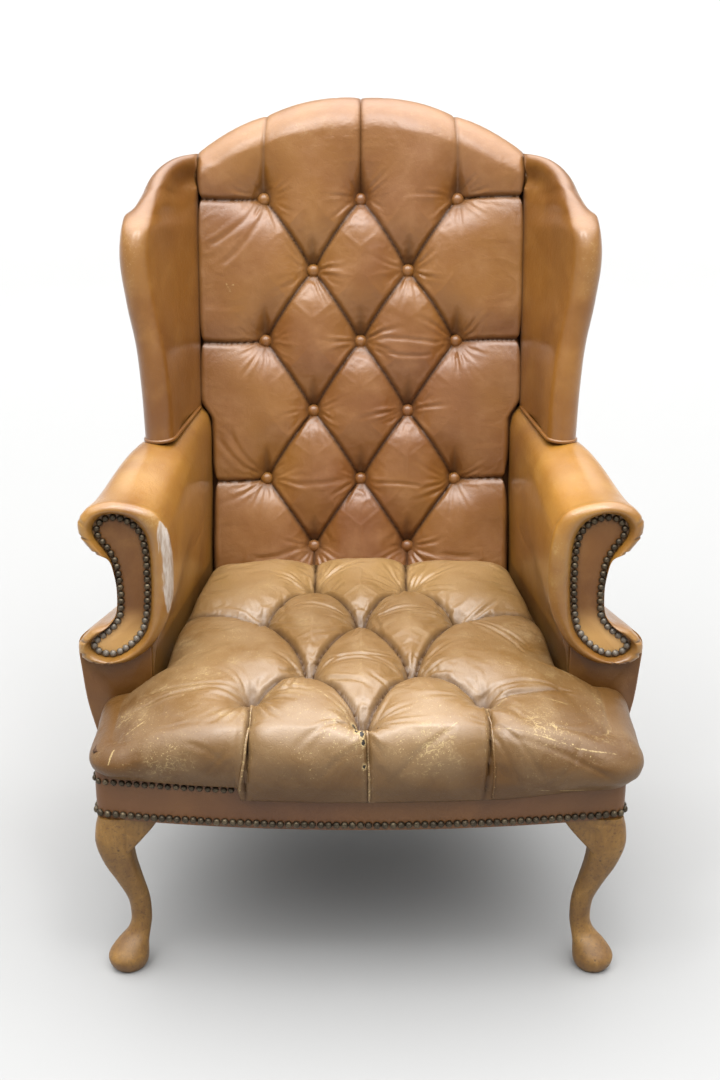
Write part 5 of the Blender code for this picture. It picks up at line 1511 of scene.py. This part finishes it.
def leg_section(z):
    """Centre x, centre y and half size of the front leg at height z."""
    shape = [
        (0.000, 0.3290, -0.3430, 0.0205), (0.004, 0.3290, -0.3430, 0.0240), (0.012, 0.3290, -0.3430, 0.0268),
        (0.022, 0.3285, -0.3425, 0.0272), (0.036, 0.3240, -0.3370, 0.0225), (0.050, 0.3160, -0.3290, 0.0165),
        (0.066, 0.3120, -0.3250, 0.0146), (0.100, 0.3135, -0.3270, 0.0152), (0.135, 0.3235, -0.3320, 0.0178),
        (0.168, 0.3345, -0.3365, 0.0215), (0.203, 0.3405, -0.3395, 0.0250), (0.228, 0.3385, -0.3375, 0.0262),
        (0.2457, 0.3345, -0.3355, 0.0262)]
    table = np.array(shape)
    station = np.interp(z, table[:, 0], np.arange(len(shape)))
    return spline(table[:, 1:], np.array([station]))[0]


def draw_front_leg():
    """Round at the foot and ankle, squarer at the knee."""
    heights = np.concatenate([np.linspace(0, 0.05, 16), np.linspace(0.053, 0.2457, 56)])
    angles = np.linspace(0, math.tau, 49)
    rows = []
    for z in heights:
        x, y, half = leg_section(z)
        square = lerp(2.0, 3.2, float(smooth((z - 0.09) / 0.10)))
        c, s = np.cos(angles), np.sin(angles)
        reach = half / (np.abs(c) ** square + np.abs(s) ** square) ** (1 / square)
        toe = 1 + 0.10 * bell(z - 0.016, 0.018) * np.clip((c - s) / 1.41, 0, 1)
        rows.append(np.stack([x + reach * toe * c, y + reach * toe * s, np.full(angles.shape, z)], axis=1))
    return sleeve(np.array(rows))


def draw_bracket(along_front):
    """The ear that runs from the knee up to the rail, hollow below, with its edges eased."""
    reach, top, steps = 0.044, RAIL_Z[0] - GAP, 14
    profile = [(0.0, 0.0)] + [(reach * k / steps, 0.056 * (1 - k / steps) ** 0.85 + 0.0015) for k in range(steps + 1)]
    profile.append((reach, 0.0))
    bm = bmesh.new()
    thicken(bm, [(d, 0, top - drop) for d, drop in profile], (0, 0.030, 0))
    ease(bm, [e for e in bm.edges if abs(e.verts[0].co.y - e.verts[1].co.y) < 1e-6
              and max(v.co.z for v in e.verts) < top - 0.001], 0.0045, 3)
    for v in bm.verts:
        along, deep, z = v.co
        if along_front:
            v.co = (0.3220 - along * 1.06, -0.3605 + deep + 0.10 * along, z)
        else:
            v.co = (0.3470 - deep, -0.3200 + along * 1.29, z)
    return bm


def draw_rear_leg():
    """A raked, tapering leg that sweeps back to the floor."""
    rows = []
    angles = np.linspace(0, math.tau, 41)
    for share in np.concatenate([np.linspace(0, 0.97, 34), [0.985, 0.995, 1.0]]):
        z = (RAIL_Z[0] - GAP) * (1 - share)
        half = lerp(0.0195, 0.0150, share) - 0.0020 * float(smooth((share - 0.98) / 0.02))
        x = 0.2600 + 0.012 * share
        y = lerp(back_y(RAIL_Z[0]) + PAD_THICK + POST_DEPTH / 2, 0.372, share**1.5)
        c, s = np.cos(angles), np.sin(angles)
        around = half / (np.abs(c) ** 6 + np.abs(s) ** 6) ** (1 / 6)
        rows.append(np.stack([x + around * c, y + around * s, np.full(angles.shape, z)], axis=1))
    return sleeve(np.array(rows))


def draw_shoulder_cap():
    """The fold of leather over the end of the crest rail, between the back and a wing."""
    bm = bmesh.new()
    place = Matrix.Translation((0.2705, 0.3460, 1.0040)) @ Matrix.Diagonal((0.0190, 0.0530, 0.0580, 1.0))
    bmesh.ops.create_cube(bm, size=1.0, matrix=place)
    ease(bm, bm.edges[:], 0.0070, 5)
    mark_all(bm, "wear", 0.3)
    return bm


# One operator for each group of pieces


class Piece(bpy.types.Operator):
    """Shared settings of the chair's operators"""
    bl_options = {"REGISTER", "UNDO"}

    def execute(self, context):
        self.make(context)
        return {"FINISHED"}


class CHAIR_OT_stage(Piece):
    """Lays the floor, hangs the lights and places the camera"""
    bl_idname = "chair.stage"
    bl_label = "Floor, lights and camera"

    def make(self, context):
        scene = context.scene
        bm = bmesh.new()
        line = [bm.verts.new((x, 0, 0)) for x in (0, 1.5, 3.0, 5.0)]
        for k in range(1, 13):
            angle = math.radians(7.5 * k)
            line.append(bm.verts.new((5.0 + 2.0 * math.sin(angle), 0, 2.0 * (1 - math.cos(angle)))))
        edges = [bm.edges.new(pair) for pair in zip(line, line[1:])]
        bmesh.ops.spin(bm, geom=line + edges, axis=(0, 0, 1), cent=(0, 0, 0), angle=math.tau, steps=72)
        weld(bm, 1e-4)
        floor = mesh_object("floor", bm)
        f = Finish("pale_floor")
        # Painted light: the stage is paler up its rising wall and towards the back, offsetting the shade the wall gets.
        rise = f.coordinate(f.place(), "Z").step(-0.5, 1.6) * f.coordinate(f.place(), "Y").step(-3.0, 5.0)
        floor.data.materials.append(f.shader(Base_Color=f.mix(rise, (0.30, 0.30, 0.298), (0.74, 0.74, 0.74)),
                                             Roughness=0.85, Specular_IOR_Level=0.1))
        scene.view_settings.view_transform = "Standard"
        self.light_sky(scene)
        for name, x in (("lamp_left", -0.62), ("lamp_right", 0.34)):
            lamp = bpy.data.lights.new(name, "AREA")
            lamp.shape = "RECTANGLE"
            lamp.size, lamp.size_y = 0.30, 1.2
            lamp.energy = 16.0
            light = place_object(name, lamp)
            light.location = (x, -0.85, 2.65)
            light.rotation_euler = (Vector((0, 0, 0.6)) - light.location).to_track_quat("-Z", "Y").to_euler()
        lens = bpy.data.cameras.new("camera")
        lens.lens = CAMERA_LENS
        lens.sensor_width = 36.0
        camera = place_object("camera", lens)
        camera.location = CAMERA_PLACE
        camera.rotation_euler = (CAMERA_TILT, 0, 0)
        scene.camera = camera

    @staticmethod
    def light_sky(scene):
        """A plain white room: brightest overhead, paler towards the floor."""
        world = scene.world or bpy.data.worlds.new("studio")
        scene.world = world
        world.use_nodes = True
        tree = world.node_tree
        back = tree.nodes["Background"]
        facing = tree.nodes.new("ShaderNodeTexCoord")
        apart = tree.nodes.new("ShaderNodeSeparateXYZ")
        ramp = tree.nodes.new("ShaderNodeMapRange")
        ramp.interpolation_type = "SMOOTHSTEP"
        for key, value in {"From Min": 0.35, "From Max": 1.00, "To Min": 0.35, "To Max": 4.80}.items():
            ramp.inputs[key].default_value = value
        tree.links.new(facing.outputs["Generated"], apart.inputs[0])
        tree.links.new(apart.outputs["Z"], ramp.inputs["Value"])
        tree.links.new(ramp.outputs["Result"], back.inputs["Strength"])
        back.inputs["Color"].default_value = (1.0, 1.0, 1.0, 1.0)


class CHAIR_OT_seat(Piece):
    """Makes the tufted seat, its buttons and the folded edges of its front pleats"""
    bl_idname = "chair.seat"
    bl_label = "Seat"

    def make(self, context):
        bm, places, ridges = draw_seat()
        cover = finish_of("seat leather")
        seat = finish_piece("seat_cover", bm, cover, ["seat_pad"], angle=75)
        settle(seat, 4.0, 0.035, 0.8, 8, 0.0080, 0.8)
        buttons = domes(places, sizes().button * 0.9, 0.0075, 20, 9)
        finish_piece("seat_buttons", buttons, cover)
        for number, path in enumerate(ridges, start=1):
            edge = welt(path + np.array([0.0012, -0.0008, 0.0004]), 0.0019, 8)
            mark_all(edge, "wear", 1.0)
            finish_piece(f"seat_pleat_edge_{number}", edge, cover)


class CHAIR_OT_back(Piece):
    """Makes the tufted inside back and its buttons"""
    bl_idname = "chair.back"
    bl_label = "Inside back"

    def make(self, context):
        bm, places = draw_back()
        cover = finish_of("back leather")
        back = finish_piece("back_cover", bm, cover, ["back_pad"], angle=75)
        settle(back, 3.0, 0.030, 0.7, 7, 0.0055, 0.35)
        finish_piece("back_buttons", domes(places, sizes().button, 0.0090, 22, 10), cover)


class CHAIR_OT_wings(Piece):
    """Makes the wings and the welts where they meet the arms"""
    bl_idname = "chair.wings"
    bl_label = "Wings"

    def make(self, context):
        for side, word in SIDES:
            finish_piece(f"wing_cover_{word}", draw_wing(), finish_of("wing leather"), [f"wing_{word}"],
                         side=side)
            root, centre, outward, direction, run = wing_ray(0.0)
            path = [root + direction * (run * k / 6) for k in range(6)]
            path += round_roll(centre, outward, direction, 12)
            heel = Vector((WING_REAR_X, back_y(root.z) + PAD_THICK + POST_DEPTH, root.z))
            path += [path[-1].lerp(heel, k / 6) for k in range(1, 7)]
            path = even_path(np.array([tuple(p) for p in path]), 0.006)
            path[:, 2] -= 0.0010
            finish_piece(f"wing_welt_{word}", welt(path, sizes().welt), finish_of("wing leather"), side=side)


class CHAIR_OT_arms(Piece):
    """Makes the inside and outside covers of the arms"""
    bl_idname = "chair.arms"
    bl_label = "Arm covers"

    def make(self, context):
        for side, word in SIDES:
            hide = finish_of("scuffed leather" if side == LEFT else "arm leather")
            finish_piece(f"inside_arm_cover_{word}", draw_inside_arm(side == LEFT), hide,
                         [f"inside_arm_{word}"], side=side)
            finish_piece(f"outside_arm_cover_{word}", draw_outside_arm(), finish_of("arm leather"),
                         [f"outside_arm_{word}"], side=side)


class CHAIR_OT_arm_fronts(Piece):
    """Makes the arms' front rolls, panels and nails"""
    bl_idname = "chair.arm_fronts"
    bl_label = "Arm fronts"

    def make(self, context):
        for side, word in SIDES:
            hide = finish_of("scuffed leather" if side == LEFT else "arm leather")
            finish_piece(f"arm_front_roll_{word}", draw_arm_roll(side == LEFT), hide, [f"arm_roll_{word}"],
                         side=side)
            finish_piece(f"arm_front_panel_{word}", draw_arm_panel(), finish_of("front leather"),
                         [f"arm_facing_{word}"], side=side)
            finish_piece(f"arm_front_skirt_{word}", draw_arm_skirt(), finish_of("skirt leather"),
                         [f"arm_base_panel_{word}"], side=side)
            heads = domes(arm_nail_places(), sizes().nail, sizes().nail_height, 10, 6)
            finish_piece(f"arm_nail_heads_{word}", heads, finish_of("brass"), [f"arm_nails_{word}"],
                         side=side)


class CHAIR_OT_band(Piece):
    """Makes the leather band of the seat rail and its nails"""
    bl_idname = "chair.band"
    bl_label = "Front band"

    def make(self, context):
        low, high = RAIL_Z[0] - 0.001, BAND_TOP + 0.022

        def level(offset, height):
            path = rail_path(offset)
            return np.column_stack([path, np.full(len(path), height)])

        rows = [level(0.0033 + 0.0012 * math.sin(math.pi * share), lerp(low, high, share))
                for share in np.linspace(0, 1, 13)]
        rows += [level(GAP, high), level(GAP, low), rows[0]]
        bm = sleeve(np.array(rows), fold=0.0, wear=0.25)
        finish_piece("front_band_cover", bm, finish_of("band leather"), ["front_band"])
        row = rail_nail_places(0.2535, 0.0036, sizes().rail_nail_pitch, 3)
        finish_piece("front_nail_heads", domes(row, 0.0053, 0.0046, 10, 6), finish_of("brass"),
                     ["front_nails"])
        hem = rail_nail_places(0.3025, 0.0038, 0.0108, 4, HEM_NAIL_END_X)
        finish_piece("hem_nail_heads", domes(hem, 0.0046, 0.0036, 8, 5), finish_of("brass"))


class CHAIR_OT_legs(Piece):
    """Makes the shaped legs and their brackets"""
    bl_idname = "chair.legs"
    bl_label = "Legs"

    def make(self, context):
        wood = finish_of("leg wood")
        for side, word in SIDES:
            finish_piece(f"shaped_leg_{word}", draw_front_leg(), wood, [f"front_leg_{word}"], side=side)
            finish_piece(f"front_ear_{word}", draw_bracket(True), wood, [f"knee_bracket_front_{word}"],
                         angle=40, side=side)
            finish_piece(f"side_ear_{word}", draw_bracket(False), wood, [f"knee_bracket_side_{word}"],
                         angle=40, side=side)
            finish_piece(f"back_leg_{word}", draw_rear_leg(), wood, [f"rear_leg_{word}"], side=side)


class CHAIR_OT_outside_back(Piece):
    """Makes the plain outside back and its welt"""
    bl_idname = "chair.outside_back"
    bl_label = "Outside back"

    def make(self, context):
        s, t = np.meshgrid(np.linspace(-1, 1, 61), np.linspace(0, 1, 91))
        x = OUTSIDE_BACK_HALF * s
        z = lerp(RAIL_Z[0], crest_z(x, CREST_TOP), t)
        edge = np.minimum(1 - np.abs(s), np.minimum(t, 1 - t) * 2)
        y = back_y(z) + PAD_THICK + POST_DEPTH + GAP + 0.0035 + 0.0040 * smooth(edge / 0.35)
        y = y + lumps(x, z, 0.22, 0.0012, 19) * smooth(edge / 0.2)
        points = np.stack([x, y, z], axis=-1)
        bm = closed_cover(points, -surface_normals(points), 0.0032, fold=0.0, wear=0.15)
        finish_piece("outside_back_cover", bm, finish_of("arm leather"), ["outside_back"])
        half = OUTSIDE_BACK_HALF
        rise = np.linspace(RAIL_Z[0] + 0.004, crest_z(np.array(half), CREST_TOP), 60)
        arch = np.linspace(-half, half, 70)[1:-1]
        left, right = (np.column_stack([np.full(60, x), rise]) for x in (-half, half))
        path = np.concatenate([left, np.column_stack([arch, crest_z(arch, CREST_TOP)]), right[::-1]])
        depth = back_y(path[:, 1]) + PAD_THICK + POST_DEPTH + 0.0040
        path = even_path(np.column_stack([path[:, 0], depth, path[:, 1]]), 0.008)
        finish_piece("outside_back_welt", welt(path, 0.0030), finish_of("arm leather"))
        for side, word in SIDES:
            finish_piece(f"shoulder_cap_{word}", draw_shoulder_cap(), finish_of("wing leather"), side=side)


class CHAIR_OT_inner_parts(Piece):
    """Finishes the frame, springs, webbing and dust cloth"""
    bl_idname = "chair.inner_parts"
    bl_label = "Inner parts"

    def make(self, context):
        chosen = {"frame_wood": "frame wood", "spring_steel": "steel", "webbing": "webbing", "dust_cloth": "dust cloth"}
        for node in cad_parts.values():
            for slot in node.material_slots:
                word = slot.material.name.split(".")[0] if slot.material else ""
                if word in chosen:
                    slot.material = finish_of(chosen[word])


class CHAIR_PT_panel(bpy.types.Panel):
    """Lists the chair's steps in the sidebar"""
    bl_label = "Wing chair"
    bl_idname = "CHAIR_PT_panel"
    bl_space_type = "VIEW_3D"
    bl_region_type = "UI"
    bl_category = "Wing chair"

    def draw(self, context):
        for step in STEPS:
            self.layout.operator(step.bl_idname)
        for group in (context.scene.chair_sizes, context.scene.chair_colours):
            for key in group.__annotations__:
                self.layout.prop(group, key)


STEPS = (CHAIR_OT_stage, CHAIR_OT_seat, CHAIR_OT_back, CHAIR_OT_wings, CHAIR_OT_arms, CHAIR_OT_arm_fronts,
         CHAIR_OT_band, CHAIR_OT_legs, CHAIR_OT_outside_back, CHAIR_OT_inner_parts)
CLASSES = (ChairSizes, ChairColours, *STEPS, CHAIR_PT_panel)


def register():
    for cls in CLASSES:
        bpy.utils.register_class(cls)
    bpy.types.Scene.chair_sizes = bpy.props.PointerProperty(type=ChairSizes)
    bpy.types.Scene.chair_colours = bpy.props.PointerProperty(type=ChairColours)


def unregister():
    del bpy.types.Scene.chair_colours
    del bpy.types.Scene.chair_sizes
    for cls in reversed(CLASSES):
        bpy.utils.unregister_class(cls)


def main():
    register()
    for step in STEPS:
        group, name = step.bl_idname.split(".")
        getattr(getattr(bpy.ops, group), name)()


if __name__ == "__main__":
    main()
